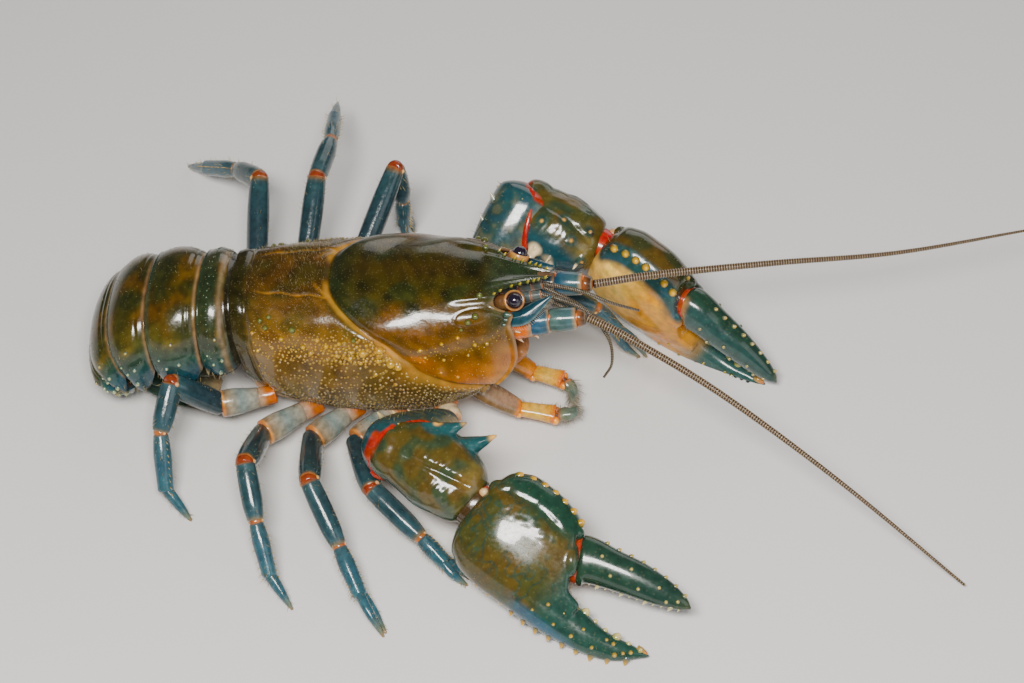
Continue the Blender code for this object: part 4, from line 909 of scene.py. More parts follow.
def eye_cup(eye, look):
    """The rounded rim that holds the globe, turned from its (height, radius) outline."""
    path = np.linspace(0, len(EYE_RIM) - 1, 40)
    up, radius = spline(path, range(len(EYE_RIM)), EYE_RIM).T
    around = turns(40)
    wide = unit(np.cross(look, vec(0, 0, 1)))
    circle = np.cos(around)[:, None] * wide + np.sin(around)[:, None] * np.cross(look, wide)
    tint = ramp(
        path, (0, (200, 90, 30)), (2, (360, 170, 40)), (4, (460, 200, 40)),
        (5, (260, 100, 20)), (6, (50, 25, 15)),
    )
    return eye + up[:, None, None] * look + radius[:, None, None] * circle, tint[:, None]


def make_eyes():
    for side, sign in SIDES:
        root = body(WALL_FACE, sign * 4.6, 3.2)
        eye = body(WALL_FACE + 4.5, sign * 5.7, 5.0)
        look = unit(vec(0.25, sign * 0.55, 0.8))
        stations = [(root, 1.3, 1.2), (lerp(root, eye, 0.4), 1.5, 1.5), (eye - look * 0.9, 1.7, 1.7)]
        grid, t = limb(stations, vec(0, 1, 0), 36, 28, 2, 0.4, 0.7)
        tint = ramp(t, (0, (60, 30, 12)), (0.5, (100, 45, 15)), (1, (160, 65, 20)))
        stalk = Piece()
        stalk.grid(grid, tint[:, None])
        stalk.grid(*eye_cup(eye, look))
        stalk.build(f"eye_stalk_{side}", SOFT, "orange_shell", f"eyestalk_{side}")
        globe = Piece()
        a = np.linspace(0.02, math.pi - 0.02, 30)
        centres = eye + look * 0.3 - look * (EYE_RADIUS * np.cos(a))[:, None]
        size = EYE_RADIUS * 0.97 * np.sin(a)
        globe.grid(tube(centres, size, size, vec(0, 0, 1), 36, 2), (10, 6, 16))
        globe.build(f"eye_globe_{side}", GLOBE, "eye", f"eye_{side}")


FLAGELLA = {
    "right": (
        (65.5, -6.6, 31.4), (74, -10.2, 30.2), (92, -17.8, 24.6), (115, -28.2, 14.0), (139, -40.1, 1.2)
    ),
    "left": ((66.2, 1.6, 31.6), (78, 5.2, 31.4), (100, 12.2, 29.0), (124, 21.6, 23.8), (150, 33.6, 19.6)),
}
SMALL_FEELERS = {
    "right": (
        ((64.5, -3.6, 30.4), (69.5, -6.0, 25.5), (70.6, -8.0, 20.5), (69.2, -9.0, 17.0)),
        ((63.0, -3.9, 29.2), (66.5, -3.8, 26.6), (69.5, -3.2, 24.4)),
    ),
    "left": (
        ((64.0, -0.4, 31.6), (69.5, -0.8, 29.4), (75.0, 0.6, 26.0)),
        ((62.6, -1.4, 29.6), (66.0, -1.0, 26.0), (68.5, 0.2, 22.8)),
    ),
}


def ringed(piece, path, start, end, pitch, dark, pale, sides=12):
    """A feeler lash of short rings, each with a pale raised edge."""
    knots = np.arange(len(path))
    fine = spline(np.linspace(0, len(path) - 1, 400), knots, path)
    reach = np.concatenate(((0,), np.cumsum(np.linalg.norm(np.diff(fine, axis=0), axis=1))))
    count = int(reach[-1] / pitch)
    s = np.linspace(0, 1, count * 5 + 1)
    phase = (s * count) % 1.0
    where = np.stack([np.interp(s * reach[-1], reach, fine[:, k]) for k in range(3)], -1)
    radius = lerp(start, end, s) * (0.9 + 0.16 * peak(phase, 0.82, 0.16))
    radius[-1] = end * 0.4
    where[:, 2] = np.maximum(where[:, 2], radius)
    tint = mix(dark, pale, 0.85 * peak(phase, 0.84, 0.13))
    piece.grid(tube(where, radius, radius, vec(0, 0, 1), sides, 2), tint[:, None])


# Segments of a feeler's stem: shares where it starts and ends, radii there
STEM_SEGMENTS = (
    (0.0, 0.4, 2.9, 2.75), (0.34, 0.6, 2.65, 2.35), (0.57, 0.9, 2.3, 2.1), (0.88, 1.0, 1.75, 1.25)
)
STEM_COLLARS = ((0.36, 2.5), (0.585, 2.2), (0.89, 1.75))


def feeler_stem(side, sign):
    root = body(WALL_FACE, sign * 5.5, -2.0)
    end = vec(*FLAGELLA[side][0])
    aim = unit(vec(*FLAGELLA[side][1]) - end)
    blue, grey = (14, 70, 135), (55, 100, 85)
    tints = (
        ((600, 75, 0), (620, 120, 0)), (blue, (30, 85, 125)),
        (grey if side == "right" else blue, (40, 95, 100)), ((300, 85, 20), (35, 22, 12)),
    )
    stem = Piece()
    for (low, high, r0, r1), (tint0, tint1) in zip(STEM_SEGMENTS, tints):
        a, b = lerp(root, end - aim * 0.1, low), lerp(root, end - aim * 0.1, high)
        stations = [(a, r0 * 0.9, r0 * 0.85), (lerp(a, b, 0.3), r0, r0 * 0.95), (b, r1, r1 * 0.95)]
        grid, t = limb(stations, vec(0, 0, 1), 24, 28, 2.1, 0.5, 0.35)
        tint = ramp(t, (0, tint0), (0.8, tint1), (0.92, (260, 180, 100)), (1, (500, 130, 20)))
        stem.grid(grid, tint[:, None])
    for share, radius in STEM_COLLARS:
        middle = lerp(root, end, share)
        stations = [(middle - aim * 0.5, radius, radius), (middle + aim * 0.5, radius, radius)]
        grid, t = limb(stations, vec(0, 0, 1), 12, 24, 2, 0.3, 0.3)
        stem.grid(grid, (600, 130, 20))
    roots = [
        lerp(root, end, 0.42) + vec(0, sign * 1.6, -1.6), lerp(root, end, 0.24) + vec(0, sign * 1.8, -2.0),
        lerp(root, end, 0.2) + vec(0, sign * 2.4, 0.8),
    ]
    aims = [vec(1.2, sign * 0.5, -0.8), vec(1.2, sign * 0.4, -0.9), vec(1.4, sign * 0.6, 0.2)]
    stem.studs(roots, aims, vec(1.3, 1.5, 1.4), 0.5, (400, 160, 50), (750, 620, 400), SPINE, 8)
    stem.build(f"feeler_stem_{side}", LEG, "head_limb", f"antenna_base_{side}")


def feeler_scale(side, sign):
    """The pointed, striped blade beside the feeler's stem, with a fringe inside."""
    root = body(WALL_FACE, sign * 7.4, 0.8)
    bulge = body(WALL_FACE + 5.6, sign * 6.8, 1.5)
    tip = body(WALL_FACE + 11.2, sign * 3.6, 3.4)
    stations = [
        (root, 1.0, 0.6), (lerp(root, bulge, 0.5), 1.35, 0.85), (bulge, 1.6, 0.95),
        (lerp(bulge, tip, 0.5), 1.15, 0.6), (tip, 0.2, 0.18),
    ]
    sides = 40
    grid, t = limb(stations, vec(0, 0.9, -sign * 0.45), 50, sides, 1.25, 0.4, 0.3)
    across = np.cos(turns(sides))[None]
    stripe = peak(across, 0.0, 0.07) + 0.7 * peak(np.abs(across), 1.0, 0.12)
    stripe = np.clip(0.7 * stripe, 0, 1) * step(t, 0.1, 0.3)[:, None]
    blade = Piece()
    blade.grid(grid, mix((8, 42, 60), (160, 240, 240), stripe))
    fringe = grid[12:46, sides // 2]
    aims = fringe - grid[12:46].mean(1) + FORWARD * 0.5
    blade.studs(fringe, aims, 1.0, 0.05, (350, 280, 180), (600, 550, 400), BRISTLE, 3)
    blade.build(f"feeler_scale_{side}", LEG, "head_limb", f"antenna_scale_{side}")


def small_feeler(side, sign):
    root = body(WALL_FACE, sign * 1.6, 0.4)
    end = body(WALL_FACE + 8.8, sign * 1.3, 1.3)
    small = Piece()
    for low, high, r0, r1 in ((0, 0.5, 1.25, 1.15), (0.46, 0.78, 1.15, 1.0), (0.74, 1.0, 1.0, 0.85)):
        stations = [(lerp(root, end, low), r0, r0 * 1.05), (lerp(root, end, high), r1, r1 * 1.05)]
        grid, t = limb(stations, vec(0, 1, 0), 20, 20, 2, 0.3, 0.3)
        tint = ramp(
            t, (0, (260, 120, 70)), (0.3, (100, 100, 85)), (0.85, (50, 80, 80)), (1, (450, 130, 30))
        )
        small.grid(grid, tint[:, None])
    for rise, route in zip((0.35, -0.35), SMALL_FEELERS[side]):
        path = [end + vec(-0.8, 0, rise)] + [vec(*p) for p in route]
        ringed(small, path, 0.5, 0.26, 0.36, (30, 22, 14), (340, 270, 170), 10)
    small.build(f"small_feeler_{side}", LEG, "head_limb", f"antennule_{side}")


def make_feelers():
    for side, sign in SIDES:
        feeler_stem(side, sign)
        lash = Piece()
        ringed(lash, FLAGELLA[side], 0.85, 0.28, 0.52, (40, 20, 8), (500, 360, 200))
        lash.build(
            f"feeler_lash_{side}", HORN, "feeler", f"flagellum_near_{side}", f"flagellum_far_{side}"
        )
        feeler_scale(side, sign)
        small_feeler(side, sign)


MAXILLIPED_ROUTES = {
    "right": ((53.0, -8.2, 4.8), (60.2, -8.5, 4.0), (63.2, -8.4, 4.6), (64.0, -5.8, 3.8)),
    "left": ((55.0, 1.0, 5.0), (61.1, -0.4, 4.9), (63.0, -1.9, 3.8), (62.9, -3.6, 1.8)),
}


GREY, AMBER, RUST = (150, 85, 30), (620, 210, 0), (620, 150, 0)


def height_in_ring(grid):
    """Height of each point over the middle of its own ring."""
    return grid[..., 2] - grid[..., 2].mean(1, keepdims=True)


def jaw_upper(arm, side, root, hip):
    stations = (
        (root, 2.1, 1.4), (lerp(root, hip, 0.35), 2.7, 1.5), (lerp(root, hip, 0.85), 2.3, 1.35),
        (hip, 2.0, 1.3),
    )
    grid, t = limb(stations, vec(0, 1, 0), 44, 32, 2.0, 0.4, 0.4)
    level = height_in_ring(grid)
    crest = step(-level, 0.2, 1.1) if side == "right" else step(level, 0.2, 1.0)
    base = mix(np.broadcast_to(GREY, grid.shape), (500, 300, 200), 0.5 * step(level, 0.5, 1.3))
    arm.grid(grid, mix(mix(base, AMBER, 0.9 * crest), RUST, step(t, 0.86, 0.96)[:, None]))


def jaw_lower(arm, hip, knee):
    stations = (
        (hip, 1.5, 1.1), (lerp(hip, knee, 0.2), 1.55, 1.2), (lerp(hip, knee, 0.7), 1.75, 1.35),
        (knee, 2.0, 1.5),
    )
    sides = 32
    grid, t = limb(stations, vec(0, 1, 0), 40, sides, 2.6, 0.5, 0.45)
    yellow = (660, 300, 10)
    base = ramp(
        t, (0, RUST), (0.14, yellow), (0.5, (640, 380, 50)), (0.8, yellow), (0.92, RUST),
        (1, (600, 100, 6)),
    )
    base = np.broadcast_to(base[:, None], grid.shape)
    arm.grid(grid, mix(base, AMBER, 0.9 * step(-height_in_ring(grid), 0.1, 0.9)))
    for place, radius in ((hip, 0.75), (knee, 0.8)):
        roots = [place + vec(0, s * radius * 1.6, -0.3) for s in (-1, 1)]
        aims = [vec(0.4, s, 0.2) for s in (-1, 1)]
        arm.studs(roots, aims, radius, radius * 1.1, RUST, (850, 360, 30), DOME, 16)
    count = 90
    edge = grid[4:38].reshape(-1, 3)[rng.integers(0, 34 * sides, count)]
    aims = (edge - lerp(hip, knee, 0.5)) * vec(0.4, 1, 1)
    length = rng.uniform(0.6, 1.4, count)
    arm.studs(edge, aims, length, 0.05, (450, 280, 120), (660, 540, 360), BRISTLE, 3)


def jaw_palp(side, knee, wrist, tip, along):
    stations = (
        (knee + along * 0.3, 1.3, 1.1), (lerp(knee, wrist, 0.6), 1.45, 1.2), (wrist, 1.15, 1.0),
        (lerp(wrist, tip, 0.5), 0.95, 0.8), (tip, 0.4, 0.4),
    )
    grid, t = limb(stations, vec(0, 1, 0), 40, 24, 2, 0.4, 0.5)
    tint = ramp(t, (0, (400, 100, 20)), (0.2, (130, 150, 90)), (0.6, (60, 105, 85)), (1, (160, 150, 100)))
    palp = Piece()
    palp.grid(grid, tint[:, None])
    dark, pale = (200, 170, 110), (450, 400, 280)
    scatter(palp, grid, 260, (0.15, 1.0), 1.6, 0.04, dark, pale, BRISTLE, 3, vec(0.3, -0.2, -0.7))
    palp.build(f"jaw_palp_{side}", LEG, "leg", f"maxilliped_palp_{side}")


def make_jaw_foot(side, sign):
    hip, knee, wrist, tip = (vec(*p) for p in MAXILLIPED_ROUTES[side])
    root = body(THORAX_END + 0.3, sign * 5.8, underside_z(THORAX_END) - 3.2)
    arm = Piece()
    jaw_upper(arm, side, root, hip)
    jaw_lower(arm, hip, knee)
    arm.build(f"jaw_foot_{side}", SOFT, "orange_shell", f"maxilliped_{side}")
    jaw_palp(side, knee, wrist, tip, unit(knee - hip))


def make_mouth():
    stations = [
        (body(THORAX_END + 0.3, 0, underside_z(THORAX_END) - 2.3), 2.7, 1.7),
        (body(45, 0, -16.6), 3.2, 1.7), (body(49, 0, -15.6), 3.6, 1.8), (body(52.4, 0, -13.9), 2.4, 1.2),
    ]
    grid, t = limb(stations, vec(0, 1, 0), 40, 32, 2.4, 0.5, 0.8)
    tint = ramp(t, (0, (250, 110, 40)), (0.6, (400, 110, 15)), (1, (360, 140, 50)))
    mouth = Piece()
    mouth.grid(grid, tint[:, None])
    mouth.build("mouth_parts", SOFT, "orange_shell", "mouthparts")
    for side, sign in SIDES:
        make_jaw_foot(side, sign)


# Walking legs

LEG_RADIUS = 2.1
# Segments of a walking leg: half widths and heights over LEG_RADIUS at even steps, colours along it,
# how far its two ends are rounded, number of bristles
LEG_SEGMENTS = {
    "coxa": (
        ((0.95, 0.9), (1, 0.95), (0.85, 0.86)),
        ((0, (450, 95, 0)), (0.45, (380, 100, 2)), (0.7, (340, 190, 100)), (1, (280, 240, 170))),
        (0.3, 0.4), 0,
    ),
    "base": (
        ((0.85, 0.9), (1.0, 1.08), (1.14, 1.26), (1.12, 1.22)),
        (
            (0, (240, 130, 70)), (0.15, (240, 220, 160)), (0.5, (150, 200, 185)),
            (0.78, (240, 190, 120)), (0.88, (200, 130, 70)), (0.93, (500, 200, 40)),
            (0.98, (420, 130, 20)), (1, (250, 80, 30)),
        ),
        (0.5, 0.35), 8,
    ),
    "thigh": (
        ((0.86, 1), (0.94, 1.12), (1, 1.16), (1.02, 1.12), (0.86, 0.92)),
        (
            (0, (300, 160, 90)), (0.05, (16, 34, 42)), (0.35, (16, 34, 42)),
            (0.7, (14, 38, 46)), (0.93, (18, 52, 60)), (0.96, (120, 80, 40)),
            (0.98, (300, 90, 15)), (1, (240, 40, 8)),
        ),
        (0.8, 0.55), 34,
    ),
    "shin": (
        ((0.84, 0.9), (0.92, 1.02), (0.94, 1.02), (0.9, 0.98), (0.68, 0.74)),
        (
            (0, (260, 50, 8)), (0.03, (280, 100, 20)), (0.06, (26, 62, 70)),
            (0.5, (14, 40, 48)), (0.9, (24, 64, 78)), (0.96, (120, 100, 60)),
            (1, (380, 140, 30)),
        ),
        (0.5, 0.5), 26,
    ),
    "foot": (
        ((0.62, 0.66), (0.78, 0.84), (0.72, 0.8), (0.66, 0.76)),
        (
            (0, (380, 150, 40)), (0.06, (30, 75, 90)), (0.6, (20, 72, 98)),
            (1, (30, 95, 120)),
        ),
        (0.5, 0.5), 30,
    ),
    "finger": (
        ((0.56, 0.56), (0.5, 0.5), (0.34, 0.38), (0.2 / LEG_RADIUS, 0.24 / LEG_RADIUS)),
        (
            (0, (30, 85, 105)), (0.6, (22, 80, 105)), (0.9, (100, 120, 80)),
            (1, (300, 160, 50)),
        ),
        (0.5, 0.2), 16,
    ),
}
# Where each leg leaves the body, then x, y and z of its hip, knee, ankle, palm and tip
RIGHT_LEGS = (
    (28, 22.4, -19.4, 6.8, 27.4, -33.4, 9.2, 37.4, -41, 5.4, 43, -45.2, 2.6, 46.8, -47.4, 0.25),
    (19.5, 14.2, -19.2, 6, 16.2, -36.2, 14, 22.7, -45.8, 7.4, 28.1, -54.8, 3, 32.6, -60.4, 0.25),
    (11.5, 4.8, -19.2, 6.2, 4, -34.2, 15.6, 6.9, -43.2, 9.8, 10.7, -52, 3, 15, -55.9, 0.25),
    (3.5, -3.4, -14.6, 7.2, -12.4, -17.8, 17.2, -13.8, -25.4, 11.6, -11.9, -34.4, 3.2, -6.9, -37.3, 0.25),
)
LEFT_LEGS = (
    (28, 39, 10.4, 2.9, 55.6, 11.2, 17.4, 66.4, 11, 13.8, 71.4, 10.8, 6.6, 76.6, 10.4, 0.25),
    (19.5, 15.8, 13.6, 6.4, 24.2, 37, 22, 25.4, 37.4, 12.8, 25.4, 37.6, 4.6, 27, 39.6, 0.25),
    (11.5, 7.4, 13.6, 6.8, 8.6, 34.6, 20.6, 9.8, 46.4, 19, 8.8, 59.4, 13.6, 8.4, 66, 10.4),
    (3.5, -1.4, 12.4, 8, -3, 34.2, 19.6, -9, 42, 13.6, -18, 49.6, 5.4, -22.4, 54.4, 0.25),
)
LEG_ROUTES = {"right": RIGHT_LEGS, "left": LEFT_LEGS}
DARK_HAIR, GOLD_HAIR = (300, 220, 80), (620, 460, 200)


def limb_root(x, side):
    """Where a leg leaves the underside of the thorax."""
    return body(x, (-8.7 if side == "right" else 8.7), underside_z(x) - 3.4)


def leg_part(piece, kind, a, b, hinge):
    """One segment of a leg from a to b, with its bristles and grains."""
    sizes, tints, ends, bristles = LEG_SEGMENTS[kind]
    steps = np.linspace(0, 1, len(sizes))
    stations = [(lerp(a, b, s), w * LEG_RADIUS, h * LEG_RADIUS) for s, (w, h) in zip(steps, sizes)]
    grid, t = limb(stations, hinge, 30, 24, 2.15, *ends)
    grid = np.maximum(grid, FLOOR)
    piece.grid(grid, ramp(t, *tints)[:, None])
    if bristles:
        lean = unit(b - a) * 0.7
        scatter(piece, grid, bristles, (0.12, 0.95), 1.05, 0.05, DARK_HAIR, GOLD_HAIR, BRISTLE, 4, lean)
        dark, pale = (50, 90, 90), (200, 240, 180)
        scatter(piece, grid, bristles, (0.12, 0.95), 0.1, 0.1, dark, pale, BEAD, 6)


def joint_knobs(piece, at, hinge, along, radius, tint):
    """Soft skin of a joint, with the small pale knobs that it turns on."""
    end, shift = (radius * 0.85, radius * 0.9), along * radius * 0.6
    stations = [(at - shift, *end), (at, radius, radius * 1.05), (at + shift, *end)]
    grid, _ = limb(stations, hinge, 18, 24, 2, radius * 0.3, radius * 0.3)
    piece.grid(grid, tint)
    roots = [at + hinge * end[0], at - hinge * end[0]]
    rust, cream = (450, 160, 30), (700, 420, 160)
    piece.studs(roots, [hinge, -hinge], radius * 0.3, radius * 0.32, rust, cream, DOME, 12)


def leg_pincer(lower, ankle, palm, tip, hinge):
    """Two slender fingers, one of them in line with the palm."""
    tints = LEG_SEGMENTS["finger"][1]
    along = unit(tip - palm)
    r = LEG_RADIUS
    spread = unit(np.cross(hinge, along)) * r * 0.5
    for offset, reach in ((1.0, 1.3), (-1.0, 0.3)):
        near = lerp(ankle, palm, 0.72) + spread * 0.35 * offset
        far = tip + spread * offset * reach
        far[2] = max(far[2], 0.35)
        middle = lerp(near, far, 0.55) + spread * offset * 0.75
        stations = [(near, r * 0.5, r * 0.5), (middle, r * 0.4, r * 0.42), (far, 0.24, 0.24)]
        grid, t = limb(stations, hinge, 34, 16, 2, 0.5, 0.3)
        grid = np.maximum(grid, FLOOR)
        lower.grid(grid, ramp(t, *tints)[:, None])
        gold = (600, 450, 200)
        scatter(lower, grid, 26, (0.3, 0.95), 0.6, 0.05, DARK_HAIR, gold, BRISTLE, 4, along * 0.7)


def foot_spines(lower, ankle, palm, hinge):
    """Short spines along both edges of the foot."""
    count = 9
    for row in (1, -1):
        places = np.linspace(0.12, 0.92, count)[:, None]
        roots = lerp(ankle, palm, places) + hinge * row * LEG_RADIUS * 0.7
        roots[:, 2] = np.maximum(roots[:, 2], 0.3)
        aim = hinge * row + unit(palm - ankle) * 0.9 + vec(0, 0, 0.25)
        length = rng.uniform(0.7, 1.2, count)
        lower.studs(roots, aim, length, 0.11, (340, 220, 60), (660, 500, 220), BRISTLE, 5)


def make_leg(side, number, route, pincer):
    root = limb_root(route[0], side)
    hip, knee, ankle, palm, tip = np.reshape(route[1:], (5, 3))
    hinge = unit(np.cross(knee - hip, ankle - knee))
    thigh, shin = unit(knee - hip), unit(ankle - knee)
    upper = Piece()
    leg_part(upper, "coxa", root, lerp(root, hip, 0.4), hinge)
    leg_part(upper, "base", lerp(root, hip, 0.3), hip + thigh * 1.4, hinge)
    leg_part(upper, "thigh", hip + thigh * 0.7, knee + thigh * 0.7, hinge)
    joint_knobs(upper, knee, hinge, unit(thigh + shin), LEG_RADIUS * 0.86, (200, 32, 6))
    upper.build(f"leg_{number}_thigh_{side}", LEG, "leg", f"leg_{number}_upper_{side}")

    lower = Piece()
    leg_part(lower, "shin", knee - shin * 0.3, ankle + shin * 0.15, hinge)
    joint_knobs(lower, ankle, hinge, unit(palm - knee), LEG_RADIUS * 0.62, (340, 100, 20))
    leg_part(lower, "foot", ankle, lerp(ankle, palm, 0.92), hinge)
    if pincer:
        leg_pincer(lower, ankle, palm, tip, hinge)
    else:
        leg_part(lower, "finger", lerp(ankle, palm, 0.86), tip, hinge)
    foot_spines(lower, ankle, palm, hinge)
    lower.build(f"leg_{number}_shin_{side}", LEG, "leg", f"leg_{number}_lower_{side}")


# Great claws

CLAW_ARMS = {
    "right": {
        "hip": (40.4, -16.4, 9.4), "knee": (30.2, -30.6, 17.6), "wrist": (47.4, -39.0, 14.0),
        "tip": (82.0, -60.5, 1.4), "roll": 30.0, "turn": 0.0, "girth": 1.0, "spines": 3, "gape": 0.0,
    },
    "left": {
        "hip": (39.8, 14.0, 8.8), "knee": (51.4, 31.5, 21.6), "wrist": (66.3, 24.6, 16.3),
        "tip": (98.0, 7.2, 2.0), "roll": 84.0, "turn": -98.0, "girth": 1.12, "spines": 2, "gape": -20.0,
    },
}
# The hand in its own frame: distance from the wrist, edges away from and towards the dactyl, half depth
HAND_STATIONS = (0.3, 1.3, 3.5, 9.0, 14.5, 19.0, 24.0, 27.0)
HAND_LATERAL = (-5.6, -8.2, -10.1, -11.2, -11.0, -10.6, -9.9, -9.2)
HAND_MEDIAL = (4.8, 8.2, 10.4, 11.7, 11.3, 10.0, 8.3, 7.0)
HAND_HALF_DEPTH = (3.6, 4.8, 5.8, 6.5, 6.3, 5.4, 4.4, 3.9)
FINGER_STATIONS = (14.0, 19.0, 24.0, 29.0, 34.0, 38.5, 41.4, 42.5)
FINGER_LATERAL = (-10.6, -10.8, -10.3, -9.2, -7.8, -5.3, -2.2, -1.0)
FINGER_MEDIAL = (-2.0, -1.6, -1.8, -2.1, -2.2, -1.2, -0.7, -0.5)
FINGER_HALF_DEPTH = (4.6, 4.6, 4.0, 3.3, 2.5, 1.6, 0.7, 0.15)
HINGE_MEDIAL = (17.8, 9.0)
HINGE_WEB = (23.4, -0.8)
DACTYL_STATIONS = (
    (25.2, 6.3, 4.2, 3.5), (31.4, 8.3, 3.6, 2.9), (37.0, 9.6, 2.7, 2.1), (41.0, 10.4, 1.4, 1.2),
    (42.7, 10.7, 0.2, 0.2),
)
# Lumps of the hand at its hinge and wrist: three points (a, t, n) along each, radius
HAND_LUMPS = (
    ((18.6, 6.2, 2.6), (20.6, 3.6, 4.0), (22.2, 1.2, 3.2), 1.35),
    ((17.0, 8.6, 1.4), (18.0, 8.0, 2.0), (18.6, 6.8, 2.2), 1.5),
    ((19.2, 5.2, -3.0), (20.6, 3.4, -3.6), (21.8, 1.6, -3.0), 1.4),
    ((0.4, 4.6, 1.6), (1.4, 5.0, 2.6), (3.0, 5.6, 2.6), 1.5),
)
# Tubercles of the fixed finger's two faces: a, t, radius
FINGER_SPOTS = (
    (19.5, -2.6, 0.4), (22.4, -5.2, 0.5), (25.4, -7.4, 0.4), (25.6, -4.6, 0.35), (29.2, -7.0, 0.5),
    (30.2, -4.6, 0.4), (33.4, -6.2, 0.45), (36.0, -3.2, 0.5), (37.4, -4.6, 0.6), (39.4, -2.4, 0.5),
    (34.6, -3.4, 0.4), (16.0, -6.0, 0.35), (20.8, -7.8, 0.35), (38.4, -3.4, 0.45),
)
DACTYL_SPOTS = (
    (24.4, 7.8), (27.8, 6.0), (30.0, 9.4), (33.2, 7.4), (36.0, 10.0), (38.6, 8.8), (40.2, 10.2)
)
# Rows of the crest's tubercles: height over the middle, number, radius
CREST_ROWS = {
    "right": ((1.9, 7, 0.8), (-2.1, 7, 0.7), (0.0, 6, 0.42)), "left": ((-2.9, 7, 0.8), (1.5, 4, 0.45))
}
# Power of the superellipse of the fingers' and the carpus's sections
CLAW_POWER = 2.25
TOOTH = ((-0.4, 1.1), (0.1, 0.95), (0.5, 0.6), (0.85, 0.25))
BARE = (0, 0, 0)


class HandFrame:
    """Claw frame: a runs from wrist to tip, t towards the dactyl and n out of the back."""

    def __init__(self, arm, sign):
        self.wrist = vec(*arm["wrist"])
        self.along = unit(vec(*arm["tip"]) - self.wrist)
        level = unit(np.cross(vec(0, 0, 1), self.along)) * -sign
        up = np.cross(self.along, level) * -sign
        roll = math.radians(arm["roll"])
        self.across = level * math.cos(roll) + up * math.sin(roll)
        self.out = up * math.cos(roll) - level * math.sin(roll)
        self.gape = math.radians(arm["gape"])

    def point(self, a, t, n=0.0):
        a, t, n = (np.asarray(v, float)[..., None] for v in (a, t, n))
        return self.wrist + a * self.along + t * self.across + n * self.out

    def swing(self, a, t, n=0.0):
        """A point of the dactyl, turned about its hinge by the gape."""
        pivot_a = (HINGE_MEDIAL[0] + HINGE_WEB[0]) / 2
        pivot_t = (HINGE_MEDIAL[1] + HINGE_WEB[1]) / 2
        c, s = math.cos(self.gape), math.sin(self.gape)
        da, dt = np.asarray(a, float) - pivot_a, np.asarray(t, float) - pivot_t
        return self.point(pivot_a + c * da - s * dt, pivot_t + s * da + c * dt, n)

    def measure(self, points):
        d = points - self.wrist
        return d @ self.along, d @ self.across, d @ self.out


def slabs(frame, stations, lateral, medial, depth, rings, sides, power):
    """Rings of a superellipse across the hand, between its lateral and medial edges."""
    a = np.linspace(stations[0], stations[-1], rings)
    low, high, half = (spline(a, stations, edge) for edge in (lateral, medial, depth))
    centres = frame.point(a, (low + high) / 2)
    angle = turns(sides)
    u = signed_power(np.cos(angle), 2 / power)[None, :, None] * ((high - low) / 2)[:, None, None]
    v = signed_power(np.sin(angle), 2 / power)[None, :, None] * half[:, None, None]
    return centres[:, None] + u * frame.across + v * frame.out


def fused(piece, voxel, rounds, cutter=None):
    """Points and faces of a piece's parts melted into one smooth skin."""
    obj = piece.object("melt")
    if cutter is not None:
        block = cutter.object("cutter")
        cut = obj.modifiers.new("cut", "BOOLEAN")
        cut.operation = "DIFFERENCE"
        cut.object = block
        cut.solver = "EXACT"
    melt = obj.modifiers.new("melt", "REMESH")
    melt.mode = "VOXEL"
    melt.voxel_size = voxel
    smooth = obj.modifiers.new("smooth", "SMOOTH")
    smooth.factor = 0.5
    smooth.iterations = rounds
    mesh = bpy.data.meshes.new_from_object(obj.evaluated_get(bpy.context.evaluated_depsgraph_get()))
    points = np.zeros(len(mesh.vertices) * 3)
    mesh.vertices.foreach_get("co", points)
    corners = np.zeros(len(mesh.loops), int)
    mesh.loops.foreach_get("vertex_index", corners)
    normals = np.zeros(len(mesh.vertices) * 3)
    mesh.vertices.foreach_get("normal", normals)
    bpy.data.objects.remove(obj)
    if cutter is not None:
        bpy.data.objects.remove(block)
    bpy.data.meshes.remove(mesh)
    return points.reshape(-1, 3), corners.reshape(-1, 4), normals.reshape(-1, 3)


def hand_cutter(frame):
    face = unit(np.array(HINGE_WEB) - np.array(HINGE_MEDIAL))
    corner = np.array(HINGE_MEDIAL) - face * 8
    web = np.array(HINGE_WEB) + face * 0.4
    outline = np.array([corner, web, web + (18.0, -3.0), corner + (24.0, 0.0)])
    block = Piece()
    block.grid(np.stack([frame.point(outline[:, 0], outline[:, 1], n) for n in (-14, 14)]), BARE)
    return block


HAND_GOLD = (720, 380, 12)


def palm_tint(points, a):
    """The pale underside of the hand, orange towards the fingers."""
    tint = ramp(
        a, (0, (800, 460, 90)), (8, (900, 540, 90)), (14, (660, 290, 12)),
        (20, (520, 190, 2)), (26, (420, 180, 10)),
    )
    brown = step(cloud(points, 3.0, 53), 0.0, 1.2) * step(a, 8, 15)
    tint = mix(tint, (380, 150, 4), 0.45 * brown)
    return mix(tint, (22, 66, 58), step(a, 24, 30))


